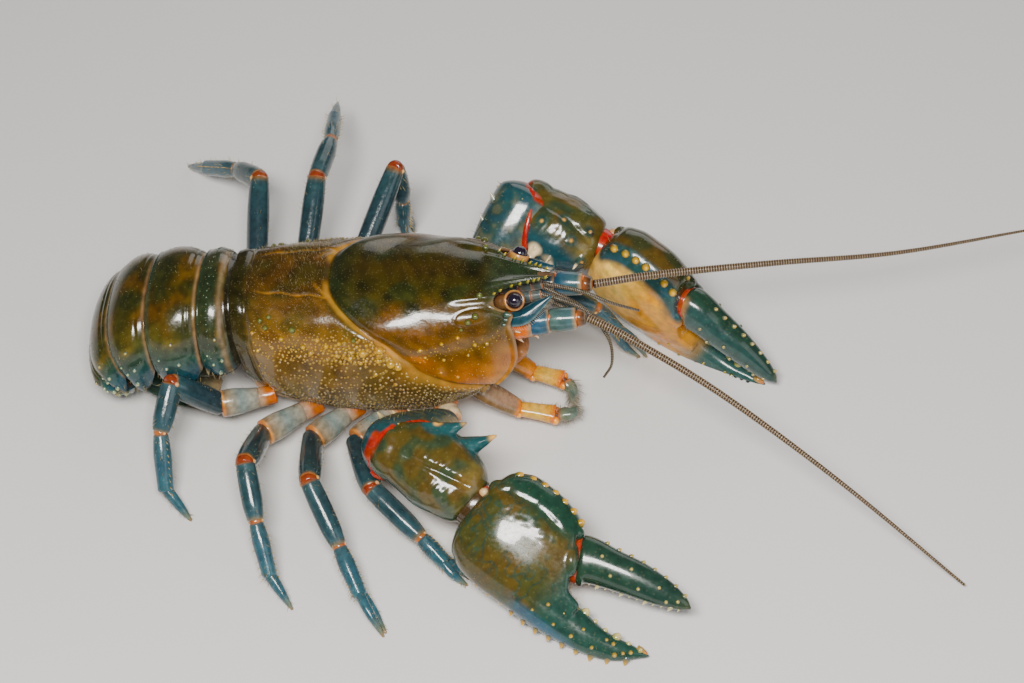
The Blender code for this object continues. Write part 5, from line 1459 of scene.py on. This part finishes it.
def hand_tint(side, points, a, t, n):
    """Colours of the hand: mottled back, green crest, teal finger, pale underside."""
    vein = cloud(points, 2.0, 51)
    patch = cloud(points, 5.5, 52)
    top = mix((48, 48, 10), (74, 48, 7), step(patch, -0.2, 0.9))
    top = mix(top, (16, 46, 30), 0.75 * peak(vein, 0.5, 0.45))
    top = mix(top, (115, 85, 30), 0.5 * peak(a, 15.5, 3.0) * peak(t, 1.5, 3.0))
    top = mix(top, (12, 44, 26), step(t, 4.6, 8.2))
    top = mix(top, (14, 50, 36), step(a, 18.0, 24) * fall(t, 4, 6))
    blue = step(-t, 7.4, 9.2) * step(a, 14, 20) * fall(a, 31, 36)
    top = mix(top, (8, 70, 120), 0.85 * blue)
    top = mix(top, (62, 42, 8), 0.6 * step(-t, 5, 8) * fall(a, 10, 18))
    green = (22, 66, 62)
    under = mix(palm_tint(points, a), green, step(-t, 8, 10))
    if side == "right":
        under = mix(under, green, step(t, 5.5, 7.8))
        return mix(top, under, step(-n, 0.8, 2.6))
    teal = mix((14, 52, 50), (16, 60, 75), step(vein, 0, 1))
    rear = mix((70, 40, 6), (30, 34, 10), step(patch, -0.3, 0.8))
    rear = mix(rear, (14, 46, 32), step(a, 17, 22))
    upper = mix(teal, rear, step(n, -2.5, -1.3))
    under = mix(under, upper, step(n, -5.4, -4.4) * step(t, 3, 5))
    return mix(under, rear, step(n, 0.5, 2.0))


def hand_skin(side, frame):
    """The palm and its finger melted into one skin with creases, ripples and dents."""
    block = Piece()
    rings = slabs(frame, HAND_STATIONS, HAND_LATERAL, HAND_MEDIAL, HAND_HALF_DEPTH, 40, 64, 2.3)
    block.grid(rings, BARE)
    palm, faces, _ = fused(block, 0.3, 8, hand_cutter(frame))
    solid = Piece()
    solid.add(palm, faces, [], BARE)
    edges = (FINGER_STATIONS, FINGER_LATERAL, FINGER_MEDIAL, FINGER_HALF_DEPTH)
    solid.grid(slabs(frame, *edges, 50, 40, CLAW_POWER), BARE)
    for *places, r in HAND_LUMPS:
        near, middle, far = (frame.point(*p) for p in places)
        stations = [(near, r * 0.8, r * 0.8), (middle, r, r * 1.05), (far, r * 0.75, r * 0.75)]
        grid, _ = limb(stations, frame.out, 20, 20, 2, r, r)
        solid.grid(grid, BARE)
    points, faces, normals = fused(solid, 0.22, 14)
    a, t, n = frame.measure(points)
    crest = np.interp(a, HAND_STATIONS, HAND_MEDIAL) - t
    fade = fall(a, 14, 18) * step(a, 1.5, 3.5)
    sink = 0.5 * peak(crest, 4.4, 0.9) * fade * step(np.abs(n), 1.0, 2.5)
    ripple = 0.03 * cloud(points, 1.3, 61) * peak(crest, 6.2, 2.2) * fade * step(n, 1.5, 3)
    dents = 0.06 * cloud(points, 7.0, 62) * step(n, 0.5, 2)
    points = np.maximum(points + normals * (ripple + dents - sink)[:, None], FLOOR)
    skin = Piece()
    skin.add(points, faces, [], hand_tint(side, points, a, t, n))
    skin.build(f"claw_palm_{side}", CLAW, "claw", f"claw_hand_{side}")
    return points, normals


def crest_tubercles(studs, side, frame):
    """The rows of domes along the palm's edge on the dactyl's side."""
    for n, count, size in CREST_ROWS[side]:
        a = np.linspace(2.6, 16.8, count) + (0.5 if n > 0 else 0)
        edge = np.interp(a, HAND_STATIONS, HAND_MEDIAL)
        aim = frame.across + frame.out * n * 0.28 + frame.along * 0.35
        roots = frame.point(a, edge - 0.6 - abs(n) * 0.12, n)
        studs.studs(roots, aim, size * 1.6, size * 1.15, (30, 60, 12), HAND_GOLD, DOME, 14)


def finger_tubercles(studs, frame):
    """Spines of the lateral edge, teeth of the cutting edge, spots of both faces, and the red tip."""
    a = np.linspace(9.5, 39.5, 12)
    edge = np.interp(a, HAND_STATIONS, HAND_LATERAL)
    edge = np.where(a > 14, np.interp(a, FINGER_STATIONS, FINGER_LATERAL), edge)
    aim = -frame.across + 0.35 * frame.out + 0.45 * frame.along
    size = 0.5 + 0.3 * step(a, 12, 20)
    roots = frame.point(a, edge + 0.4, 0.5)
    studs.studs(roots, aim, size * 1.7, size, (20, 70, 80), HAND_GOLD, TOOTH, 12)
    a = np.linspace(26.0, 40.5, 7)
    size = np.array((0.55, 1.0, 0.6, 0.6, 0.95, 0.55, 0.5))
    roots = frame.point(a, np.interp(a, FINGER_STATIONS, FINGER_MEDIAL) - 0.25, 0.5)
    aim = frame.across + 0.35 * frame.out
    studs.studs(roots, aim, size * 1.2, size, (260, 260, 70), (800, 640, 260), DOME, 14)
    for a, t, size in FINGER_SPOTS:
        low = np.interp(a, FINGER_STATIONS, FINGER_LATERAL)
        high = np.interp(a, FINGER_STATIONS, FINGER_MEDIAL)
        half = np.interp(a, FINGER_STATIONS, FINGER_HALF_DEPTH)
        flat = min(abs((t - (low + high) / 2) / ((high - low) / 2)), 0.98)
        rise = half * (1 - flat ** CLAW_POWER) ** (1 / CLAW_POWER) - 0.15
        for face in (1, -1):
            root, aim = frame.point(a, t, face * rise), frame.out * face + frame.along * 0.3
            studs.studs(root, aim, size * 1.3, size, (20, 50, 20), (500, 320, 30), DOME, 12)
    root, aim = frame.point(40.4, -1.0), frame.along + 0.12 * frame.across
    studs.studs(root, aim, 1.7, 0.72, (340, 220, 50), (550, 140, 10), DOME, 16)


def make_hand(side, frame):
    points, normals = hand_skin(side, frame)
    studs = Piece()
    crest_tubercles(studs, side, frame)
    finger_tubercles(studs, frame)
    studs.build(f"claw_palm_tubercles_{side}", STUD, "claw")
    pick = rng.integers(0, len(points), 420)
    pick = pick[(np.abs(frame.measure(points[pick])[2]) < 3.5)]
    aims = normals[pick] + frame.along * 0.3
    length = rng.uniform(0.25, 0.7, len(pick))
    hairs = Piece()
    hairs.studs(points[pick], aims, length, 0.04, (350, 280, 120), (620, 520, 300), BRISTLE, 3)
    hairs.build(f"claw_bristles_{side}", HAIR, "claw")
    make_dactyl(side, frame)


def ahead(face, frame):
    """The direction square to a face of the hinge that points along the claw."""
    normal = unit(np.cross(face, frame.out))
    return normal if normal @ frame.along > 0 else -normal


def dactyl_grid(frame, middle, level, normal):
    """Rings of the moving finger and the share along it."""
    face = unit(frame.swing(*HINGE_WEB) - frame.swing(*HINGE_MEDIAL))
    turned = ahead(face, frame)
    stations = [
        (middle - normal * 0.1, -level, 2.4, 1.7), (middle + normal * 0.4, -level, 3.8, 2.8),
        (middle + normal * 1.1, -level, 4.5, 3.4),
        (middle + unit(normal + turned) * 2.0, -unit(level + face), 4.8, 3.75),
    ]
    for a, t, half_width, half_depth in DACTYL_STATIONS:
        centre = frame.swing(a, t)
        stations.append((centre, unit(frame.swing(a, t + 1) - centre), half_width, half_depth))
    knots = np.arange(len(stations))
    s = np.linspace(0, knots[-1], 70)
    centres = spline(s, knots, [p[0] for p in stations])
    wide = unit(spline(s, knots, [p[1] for p in stations]))
    sizes = spline(s, knots, [p[2:] for p in stations])
    angle = turns(44)
    u = signed_power(np.cos(angle), 2 / CLAW_POWER)[None, :, None] * sizes[:, :1, None]
    v = signed_power(np.sin(angle), 2 / CLAW_POWER)[None, :, None] * sizes[:, 1:, None]
    grid = centres[:, None] + u * wide[:, None] + v * frame.out
    return np.maximum(grid, FLOOR), s / knots[-1], angle


def dactyl_tubercles(frame):
    """Domes of the outer edge, teeth of the cutting edge, spots of both faces."""
    studs = Piece()
    dark = (30, 70, 40)
    a = np.linspace(23.4, 40.4, 8)
    t = np.interp(a, (20, 25.2, 31.4, 37.0, 41.0), (9.6, 10.5, 11.9, 12.3, 11.8))
    aims = frame.swing(a + 0.8, t + 2.4, 0.7) - frame.swing(a, t)
    studs.studs(frame.swing(a, t - 0.3, 0.6), aims, 0.85, 0.5, dark, (600, 400, 80), DOME, 12)
    a = np.linspace(25.6, 41.2, 12)
    t = np.interp(a, (25.2, 31.4, 37.0, 41.0), (2.1, 4.7, 6.8, 8.9))
    size = 0.28 + 0.26 * (np.arange(12) % 3 == 1)
    roots, aims = frame.swing(a, t + 0.25, 0.5), frame.swing(a, t - 1) - frame.swing(a, t)
    studs.studs(roots, aims, size * 1.8, size, (400, 360, 160), (850, 720, 400), SPINE, 9)
    for a, t in DACTYL_SPOTS:
        half = np.interp(a, [d[0] for d in DACTYL_STATIONS], [d[3] for d in DACTYL_STATIONS])
        for face in (1, -1):
            root = frame.swing(a, t, face * (half - 0.15))
            studs.studs(root, frame.out * face, 0.5, 0.42, dark, (500, 380, 100), DOME, 12)
    return studs


def make_dactyl(side, frame):
    hinge, web = frame.point(*HINGE_MEDIAL), frame.point(*HINGE_WEB)
    middle, level = lerp(hinge, web, 0.5), unit(web - hinge)
    normal = ahead(level, frame)
    grid, along, angle = dactyl_grid(frame, middle, level, normal)
    green = ramp(
        along, (0, (100, 70, 20)), (0.12, (30, 48, 18)), (0.35, (13, 40, 22)),
        (0.8, (12, 36, 26)), (1, (40, 55, 20)),
    )
    pale = ramp(
        along, (0, (700, 300, 60)), (0.16, (720, 250, 20)), (0.3, (400, 200, 60)),
        (0.38, (20, 60, 55)), (1, (12, 42, 34)),
    )
    finger = Piece()
    finger.grid(grid, mix(green[:, None], pale[:, None], step(-np.sin(angle), 0.1, 0.6)[None]))
    finger.build(f"claw_finger_{side}", CLAW, "claw", f"claw_dactyl_{side}")
    dactyl_tubercles(frame).build(f"claw_finger_tubercles_{side}", STUD, "claw")
    stations = [
        (middle - normal * 2.0, 4.0, 3.0), (middle + normal * 0.3, 4.5, 3.5),
        (middle + normal * 1.5, 4.4, 3.4),
    ]
    grid, _ = limb(stations, level, 20, 28, 2.2, 0.8, 0.6)
    skin = Piece()
    skin.grid(grid, (300, 28, 6))
    skin.build(f"claw_web_{side}", SOFT, "claw")


# Sections of the carpus: share from knee to wrist, shift across, half width, half height
CARPUS_SECTIONS = (
    (0.12, 1.0, 6.0, 5.0), (0.4, 1.9, 7.6, 5.9), (0.7, 1.3, 7.2, 5.8), (0.91, 0.3, 5.6, 4.8)
)
# Its first sections: distance from the knee, half width, half height; and the size of its last
CARPUS_START = ((-2.4, 2.2, 2.0), (-1.2, 4.2, 3.8))
CARPUS_END = (4.5, 3.9)
# Large spines of its inner edge: share of the way, height, length, radius
MESIAL_SPINES = ((0.2, 2.2, 2.8, 1.5), (0.4, 1.6, 4.2, 1.9), (0.64, 0.8, 6.4, 2.5))


KNEE_RED = (360, 13, 1)


def merus_shape(arm):
    """Stations of the merus: share of the way from hip to knee, half width, half height."""
    hip, knee, girth = vec(*arm["hip"]), vec(*arm["knee"]), arm["girth"]
    shape = ((0.45, 4.8, 4.6), (0.8, 5.9, 5.7), (1.02, 5.7, 5.5), (1.12, 4.6, 4.4))
    stations = [(lerp(hip, knee, -0.02), 2.5, 2.3), (lerp(hip, knee, 0.12), 3.4, 3.2)]
    return stations + [(lerp(hip, knee, s), w * girth, h * girth) for s, w, h in shape]


def beyond_carpus(arm, frame, points):
    """How far points lie outside the carpus, negative inside it."""
    knee = vec(*arm["knee"])
    fore, wide, high = carpus_axes(arm, frame)
    reach = np.linalg.norm(frame.wrist - knee)
    start = [(d / reach, 0, w, h) for d, w, h in CARPUS_START]
    sections = np.array([*start, *CARPUS_SECTIONS, (1.0, 0, *CARPUS_END)])
    share = (points - knee) @ fore / reach
    shift, half_width, half_height = (np.interp(share, sections[:, 0], sections[:, k]) for k in (1, 2, 3))
    w = np.abs((points - knee) @ wide - shift) / half_width
    h = np.abs((points - knee) @ high) / half_height
    radial = (w ** CLAW_POWER + h ** CLAW_POWER) ** (1 / CLAW_POWER) - 1
    radial = radial * np.minimum(half_width, half_height)
    behind = (sections[0, 0] - share) * reach
    outside = np.hypot(np.maximum(radial, 0), np.maximum(behind, 0))
    return outside + np.minimum(np.maximum(radial, behind), 0)


def carpus_axes(arm, frame):
    """Directions along, across and out of the back of the carpus."""
    fore = unit(frame.wrist - vec(*arm["knee"]))
    across = unit(frame.across - fore * (frame.across @ fore))
    out = np.cross(fore, across)
    out = out if out @ frame.out > 0 else -out
    turn = math.radians(arm["turn"])
    wide = across * math.cos(turn) + out * math.sin(turn)
    return fore, wide, out * math.cos(turn) - across * math.sin(turn)


def knee_skin(arm, frame, grid):
    """A band of soft skin along the line where the merus meets the carpus."""
    rings, sides = grid.shape[:2]
    last = int(rings * 0.93)
    outside = beyond_carpus(arm, frame, grid.reshape(-1, 3)).reshape(rings, sides)
    row = np.array([next((i for i in range(12, last) if outside[i, j] < 0.9), last) for j in range(sides)])
    path = grid[row, np.arange(sides)]
    size = np.where(row < last, 0.8, 0.1)
    for _ in range(12):
        path = (np.roll(path, 1, 0) + path + np.roll(path, -1, 0)) / 3
        size = (np.roll(size, 1) + size + np.roll(size, -1)) / 3
    middle = path.mean(0)
    path = path + (middle - path) * np.where(size < 0.6, 0.12, 0.0)[:, None]
    path, size = np.concatenate((path, path[:2])), np.concatenate((size, size[:2]))
    return tube(path, size * 1.1, size * 0.75, path - middle, 14, 2)


def make_base(side, arm, root, hinge):
    """The two short segments between the thorax and the merus."""
    hip = vec(*arm["hip"])
    sizes = ((0, 2.3, 2.1), (0.3, 2.5, 2.3), (0.45, 2.2, 2.0), (0.75, 2.7, 2.4), (1, 2.6, 2.4))
    grid, t = limb([(lerp(root, hip, s), w, h) for s, w, h in sizes], hinge, 40, 28, 2.2, 0.3, 0.6)
    tint = ramp(
        t, (0, (550, 130, 8)), (0.35, (580, 170, 20)), (0.42, (340, 100, 30)),
        (0.5, (620, 460, 260)), (0.85, (550, 420, 240)), (1, (550, 200, 50)),
    )
    base = Piece()
    base.grid(grid, tint[:, None])
    base.build(f"claw_base_{side}", SOFT, "pale_shell", f"claw_ischium_{side}")


def merus_tint(arm, frame, grid, t, facing_out):
    """Dark teal outside, pale inside, red where it enters the carpus."""
    dark = ramp(
        t, (0, (70, 100, 90)), (0.3, (26, 62, 55)), (0.7, (18, 50, 44)),
        (0.86, (10, 56, 62)), (1, (12, 50, 52)),
    )
    pale = ramp(t, (0, (420, 320, 200)), (0.5, (200, 170, 85)), (0.85, (80, 100, 60)), (1, (20, 60, 50)))
    vein = cloud(grid, 2.2, 71)
    tint = mix(dark[:, None], pale[:, None], step(-facing_out, 0.0, 0.8)[None])
    tint = mix(tint, (130, 115, 50), 0.45 * step(vein, 0.0, 1.0) * fall(t, 0.8, 0.9)[:, None])
    tint = mix(tint, (10, 50, 75), 0.5 * step(-vein, 0.2, 1.2))
    outside = beyond_carpus(arm, frame, grid.reshape(-1, 3)).reshape(grid.shape[:2])
    return mix(tint, KNEE_RED, fall(outside, 1.2, 1.5) * step(t, 0.88, 0.91)[:, None])


def make_merus(side, arm, frame, hinge):
    hip, knee, girth = vec(*arm["hip"]), vec(*arm["knee"]), arm["girth"]
    along = unit(knee - hip)
    wide, high = hinge, np.cross(along, hinge)
    back = high if high @ frame.along < 0 else -high
    sides = 112
    end_round = 1.6 if side == "right" else 3.4
    grid, t = limb(merus_shape(arm), hinge, 110, sides, 2.2, 1.2, end_round)
    facing_out = (np.cos(turns(sides))[:, None] * wide + np.sin(turns(sides))[:, None] * high) @ back
    thigh = Piece()
    thigh.grid(grid, merus_tint(arm, frame, grid, t, facing_out))
    dark, pale = (30, 90, 90), (800, 550, 200) if side == "right" else (700, 620, 420)
    for share, length in ((0.45, 1.3), (0.65, 1.7), (0.84, 2.2)):
        reach = np.interp(share, (0.45, 0.8, 1.02), (4.4, 5.4, 5.2)) * girth
        for lean in (-0.6, 0.6):
            out = unit(back + lean * wide)
            root = lerp(hip, knee, share) + out * reach
            thigh.studs(root, out + 0.4 * along, length, length * 0.5, dark, pale, SPINE, 12)
    lean = np.linspace(-1.5, 1.5, 9)
    out = np.cos(lean)[:, None] * back + np.sin(lean)[:, None] * wide
    roots = lerp(hip, knee, 0.95) + out * 5.35 * girth
    thigh.studs(roots, out + 0.3 * along, 0.8, 0.5, (20, 70, 70), (600, 450, 120), DOME, 12)
    scatter(thigh, grid, 90, (0.2, 0.95), 0.8, 0.05, (320, 240, 100), (620, 500, 260), BRISTLE, 3)
    thigh.build(f"claw_thigh_{side}", CLAW, "claw", f"claw_merus_{side}")
    skin = Piece()
    skin.grid(knee_skin(arm, frame, grid), KNEE_RED)
    skin.build(f"claw_knee_skin_{side}", SOFT, "claw")


def make_pads(side, arm, frame):
    """Soft skin inside the wrist, and the cream knob that it turns on."""
    knee, wrist = vec(*arm["knee"]), frame.wrist
    fore = unit(wrist - knee)
    joint = lerp(wrist - fore * 0.6, wrist + frame.along * 0.9, 0.5)
    pad = Piece()
    stations = [(wrist - fore * 2.0, 4.2, 3.6), (joint, 4.4, 3.8), (wrist + frame.along * 1.4, 4.3, 3.6)]
    grid, _ = limb(stations, frame.across, 24, 36, 2.2, 0.8, 0.8)
    across = (grid - joint) @ frame.across
    tint = mix((45, 24, 6), (360, 16, 2), step(across, 2.2, 3.2))
    pad.grid(grid, tint)
    knob = joint + frame.across * 2.9 + frame.out * 2.7
    pad.studs(knob, frame.out + 0.4 * frame.across, 1.2, 1.0, (500, 260, 80), (750, 520, 260), DOME, 18)
    pad.build(f"claw_pads_{side}", SOFT, "claw")


# Pale spines of the left carpus: share of the way, angle from its inner edge, length
LOWER_SPINES = ((0.4, 36, 4.8), (0.6, 34, 5.8), (0.9, 44, 4.2))
# Low knobs of the left carpus: share of the way, angle from its inner edge
CARPUS_KNOBS = ((0.3, 60), (0.5, 85), (0.7, 60), (0.82, 95), (0.6, -55), (0.93, 35))
THORN = ((-0.5, 1.25), (0.0, 1.02), (0.35, 0.62), (0.7, 0.3), (0.9, 0.13))


def carpus_spines(solid, side, arm, frame):
    """Adds the carpus's spines and knobs; their tips with lengths, and the knobs' tops."""
    knee, wrist = vec(*arm["knee"]), frame.wrist
    fore, wide, high = carpus_axes(arm, frame)
    aim, slim = unit(wide + 0.75 * fore + 0.12 * high), 1.0
    down = vec(0.3, -0.75, -0.55)
    down = unit(down - fore * (down @ fore))
    if side == "left":
        aim, slim = unit(aim + 1.1 * down - 0.4 * fore), 0.7
    shares = [0.0] + [c[0] for c in CARPUS_SECTIONS] + [1.0]
    edges = [4.6] + [c[1] + c[2] for c in CARPUS_SECTIONS] + [4.2]
    tips, knobs = [], []
    for share, up, length, radius in MESIAL_SPINES[-arm["spines"] :]:
        root = lerp(knee, wrist, share) + wide * (np.interp(share, shares, edges) - 0.9) + high * up
        solid.studs(root, aim, length + 0.6, radius * slim, BARE, BARE, THORN, 18)
        tips.append((root + aim * (length + 0.6), length + 0.6))
    if side == "right":
        return tips, knobs

    def place(share, angle, reach):
        out = wide * math.cos(math.radians(angle)) + high * math.sin(math.radians(angle))
        return lerp(knee, wrist, share) + wide * 1.2 + out * reach, out

    for share, angle in CARPUS_KNOBS:
        root, out = place(share, angle, 5.0)
        solid.studs(root, out + 0.3 * fore, 1.2, 0.8, BARE, BARE, DOME, 12)
        knobs.append(root + out * 1.2)
    for share, angle, length in LOWER_SPINES:
        root, out = place(share, angle, 5.2)
        lean = unit(0.55 * out + down)
        solid.studs(root, lean, length, 0.8, BARE, BARE, THORN, 14)
        tips.append((root + lean * length, length))
    return tips, knobs


def carpus_relief(side, points, share, w, h):
    """Feathered ripples, a crease and two swellings of the back."""
    top = step(h, 2, 4) * step(share, 0.15, 0.3) * fall(share, 0.85, 0.95)
    crease = peak(w - 1.5 - 2.0 * (share - 0.5), 0, 0.7)
    inner = np.sin(2 * math.pi * (share * 15 + np.abs(w - 4.5) * 0.16)) * peak(w, 4.5, 2.2)
    outer = np.sin(2 * math.pi * (share * 14 - w * 0.14)) * peak(w, -1.5, 1.6)
    feather = inner * fall(share, 0.6, 0.85) + 0.8 * outer * step(share, 0.2, 0.5)
    feather = feather * (0.07 if side == "right" else 0.015)
    swell = 0.6 * peak(share, 0.45, 0.16) * peak(w, 2.6, 2.0)
    swell = swell + 0.5 * peak(share, 0.68, 0.13) * peak(w, -1.6, 1.8)
    return top * (feather + swell - 0.4 * crease) + 0.025 * cloud(points, 1.8, 81)


def carpus_tint(side, points, share, w, h):
    """Mottled olive brown, teal at the inner edge, greyer below."""
    patch = cloud(points, 3.4, 82)
    tint = mix((50, 50, 12), (76, 50, 8), step(patch, -0.4, 0.9))
    tint = mix(tint, (22, 46, 24), 0.7 * step(-patch, 0.1, 1.1))
    tint = mix(tint, (18, 50, 34), step(-w, 3.5, 6.5))
    tint = mix(tint, (10, 56, 54), step(w, 7.6, 9.6))
    tint = mix(tint, (200, 130, 25), 0.6 * peak(share, 0.88, 0.09) * step(w, 0, 3))
    if side == "right":
        return mix(tint, (260, 210, 120), 0.7 * step(-h, 1.5, 4.0))
    tint = mix(tint, (10, 52, 66), step(w, 5.0, 7.5))
    return mix(tint, (16, 80, 110), 0.7 * step(w, 5.0, 8.0) * step(-h, 0, 3))


def make_carpus(side, arm, frame):
    knee, wrist = vec(*arm["knee"]), frame.wrist
    fore, wide, high = carpus_axes(arm, frame)
    stations = [(knee + fore * d, w, h) for d, w, h in CARPUS_START]
    stations += [(lerp(knee, wrist, s) + wide * shift, w, h) for s, shift, w, h in CARPUS_SECTIONS]
    stations.append((wrist - fore * 0.2, *CARPUS_END))
    grid, _ = limb(stations, wide, 60, 56, CLAW_POWER, 0.8, 0.6)
    solid = Piece()
    solid.grid(grid, BARE)
    tips, knobs = carpus_spines(solid, side, arm, frame)
    points, faces, normals = fused(solid, 0.22, 3)
    share = (points - knee) @ fore / np.linalg.norm(wrist - knee)
    w, h = (points - knee) @ wide, (points - knee) @ high
    points = points + normals * carpus_relief(side, points, share, w, h)[:, None]
    tint = carpus_tint(side, points, share, w, h)
    for knob in knobs:
        near = np.linalg.norm(points - knob, axis=1)
        tint = mix(tint, (12, 45, 35), 0.8 * fall(near, 0.9, 1.8))
        tint = mix(tint, (620, 300, 40), fall(near, 0.15, 0.6))
    for tip, length in tips:
        near = np.linalg.norm(points - tip, axis=1) / length
        if side == "right":
            tint = mix(tint, (12, 66, 70), fall(near, 0.8, 1.1))
            tint = mix(tint, (800, 420, 80), fall(near, 0.12, 0.38))
        else:
            tint = mix(tint, (850, 660, 360), fall(near, 0.3, 0.52))
    tint = mix(tint, (420, 18, 2), fall(share, -0.1, -0.04))
    wrist_piece = Piece()
    wrist_piece.add(points, faces, [], tint)
    wrist_piece.build(f"claw_wrist_{side}", CLAW, "claw", f"claw_carpus_{side}")


def make_arm(side, arm):
    frame = HandFrame(arm, -1 if side == "right" else 1)
    root = limb_root(36.0, side)
    hip, knee = vec(*arm["hip"]), vec(*arm["knee"])
    hinge = unit(np.cross(knee - hip, frame.wrist - knee))
    make_base(side, arm, root, hinge)
    make_merus(side, arm, frame, hinge)
    make_carpus(side, arm, frame)
    make_pads(side, arm, frame)
    make_hand(side, frame)


# Studio


def make_stage():
    floor = bpy.data.meshes.new("floor")
    floor.from_pydata([(-3, -3, 0), (3, -3, 0), (3, 3, 0), (-3, 3, 0)], [], [(0, 1, 2, 3)])
    ground = bpy.data.objects.new("floor", floor)
    bpy.context.scene.collection.objects.link(ground)
    mat = bpy.data.materials.new("pale_floor")
    mat.use_nodes = True
    shader = mat.node_tree.nodes["Principled BSDF"]
    shader.inputs["Base Color"].default_value = (0.7, 0.69, 0.67, 1)
    shader.inputs["Roughness"].default_value = 0.6
    floor.materials.append(mat)

    world = bpy.data.worlds.new("studio")
    world.use_nodes = True
    world.node_tree.nodes["Background"].inputs["Color"].default_value = (0.93, 0.95, 1.0, 1)
    world.node_tree.nodes["Background"].inputs["Strength"].default_value = 0.11
    bpy.context.scene.world = world
    middle = vec(0.03, -0.01, 0.015)
    lamps = (
        ("key", (-0.03, -0.28, 0.43), (0.22, 0.09), 4.3, (1.0, 0.97, 0.93)),
        ("fill", (0.5, -0.3, 0.3), (0.45, 0.45), 1.0, (0.95, 0.97, 1.0)),
        ("back", (0.1, 0.55, 0.22), (0.5, 0.3), 0.8, (1.0, 0.98, 0.95)),
    )
    for name, place, size, watts, colour in lamps:
        lamp = bpy.data.lights.new(name, "AREA")
        lamp.shape = "RECTANGLE"
        lamp.size, lamp.size_y = size
        lamp.energy = watts
        lamp.color = colour
        obj = bpy.data.objects.new(name, lamp)
        obj.matrix_world = facing(vec(*place), middle)
        bpy.context.scene.collection.objects.link(obj)


def facing(place, target):
    """A transform at place that looks at target."""
    turn = Vector(target - place).to_track_quat("-Z", "Y").to_matrix().to_4x4()
    return Matrix.Translation(Vector(place)) @ turn


def make_camera():
    azimuth, elevation, distance = math.radians(5), math.radians(50), 569.0
    target = vec(49.774, 12.571, 0)
    right = vec(math.cos(azimuth), math.sin(azimuth), 0)
    level = vec(math.sin(azimuth), -math.cos(azimuth), 0)
    back = level * math.cos(elevation) + vec(0, 0, math.sin(elevation))
    up = np.cross(back, right)
    place = (target + back * distance - ORIGIN) * 0.001
    lens = bpy.data.cameras.new("camera")
    lens.lens = 100
    lens.sensor_width = 36
    lens.clip_start = 0.01
    camera = bpy.data.objects.new("camera", lens)
    rows = [[right[k], up[k], back[k], place[k]] for k in range(3)] + [[0, 0, 0, 1]]
    camera.matrix_world = Matrix(rows)
    bpy.context.scene.collection.objects.link(camera)
    bpy.context.scene.camera = camera


make_camera()
make_stage()
make_carapace()
make_shell_studs()
make_shell_bristles()
make_tail()
make_tail_fan()
make_eyes()
make_feelers()
make_mouth()
for leg_side, routes in LEG_ROUTES.items():
    for index, leg_route in enumerate(routes):
        make_leg(leg_side, index + 1, leg_route, pincer=index < 2)
for claw_side, claw_arm in CLAW_ARMS.items():
    make_arm(claw_side, claw_arm)

underside = frame["nodes"]["thorax_underside"]
underside.data.materials.clear()
underside.data.materials.append(finish("belly", mottle=0.25, mottle_size=1.5, plain=(0.45, 0.3, 0.18, 1)))
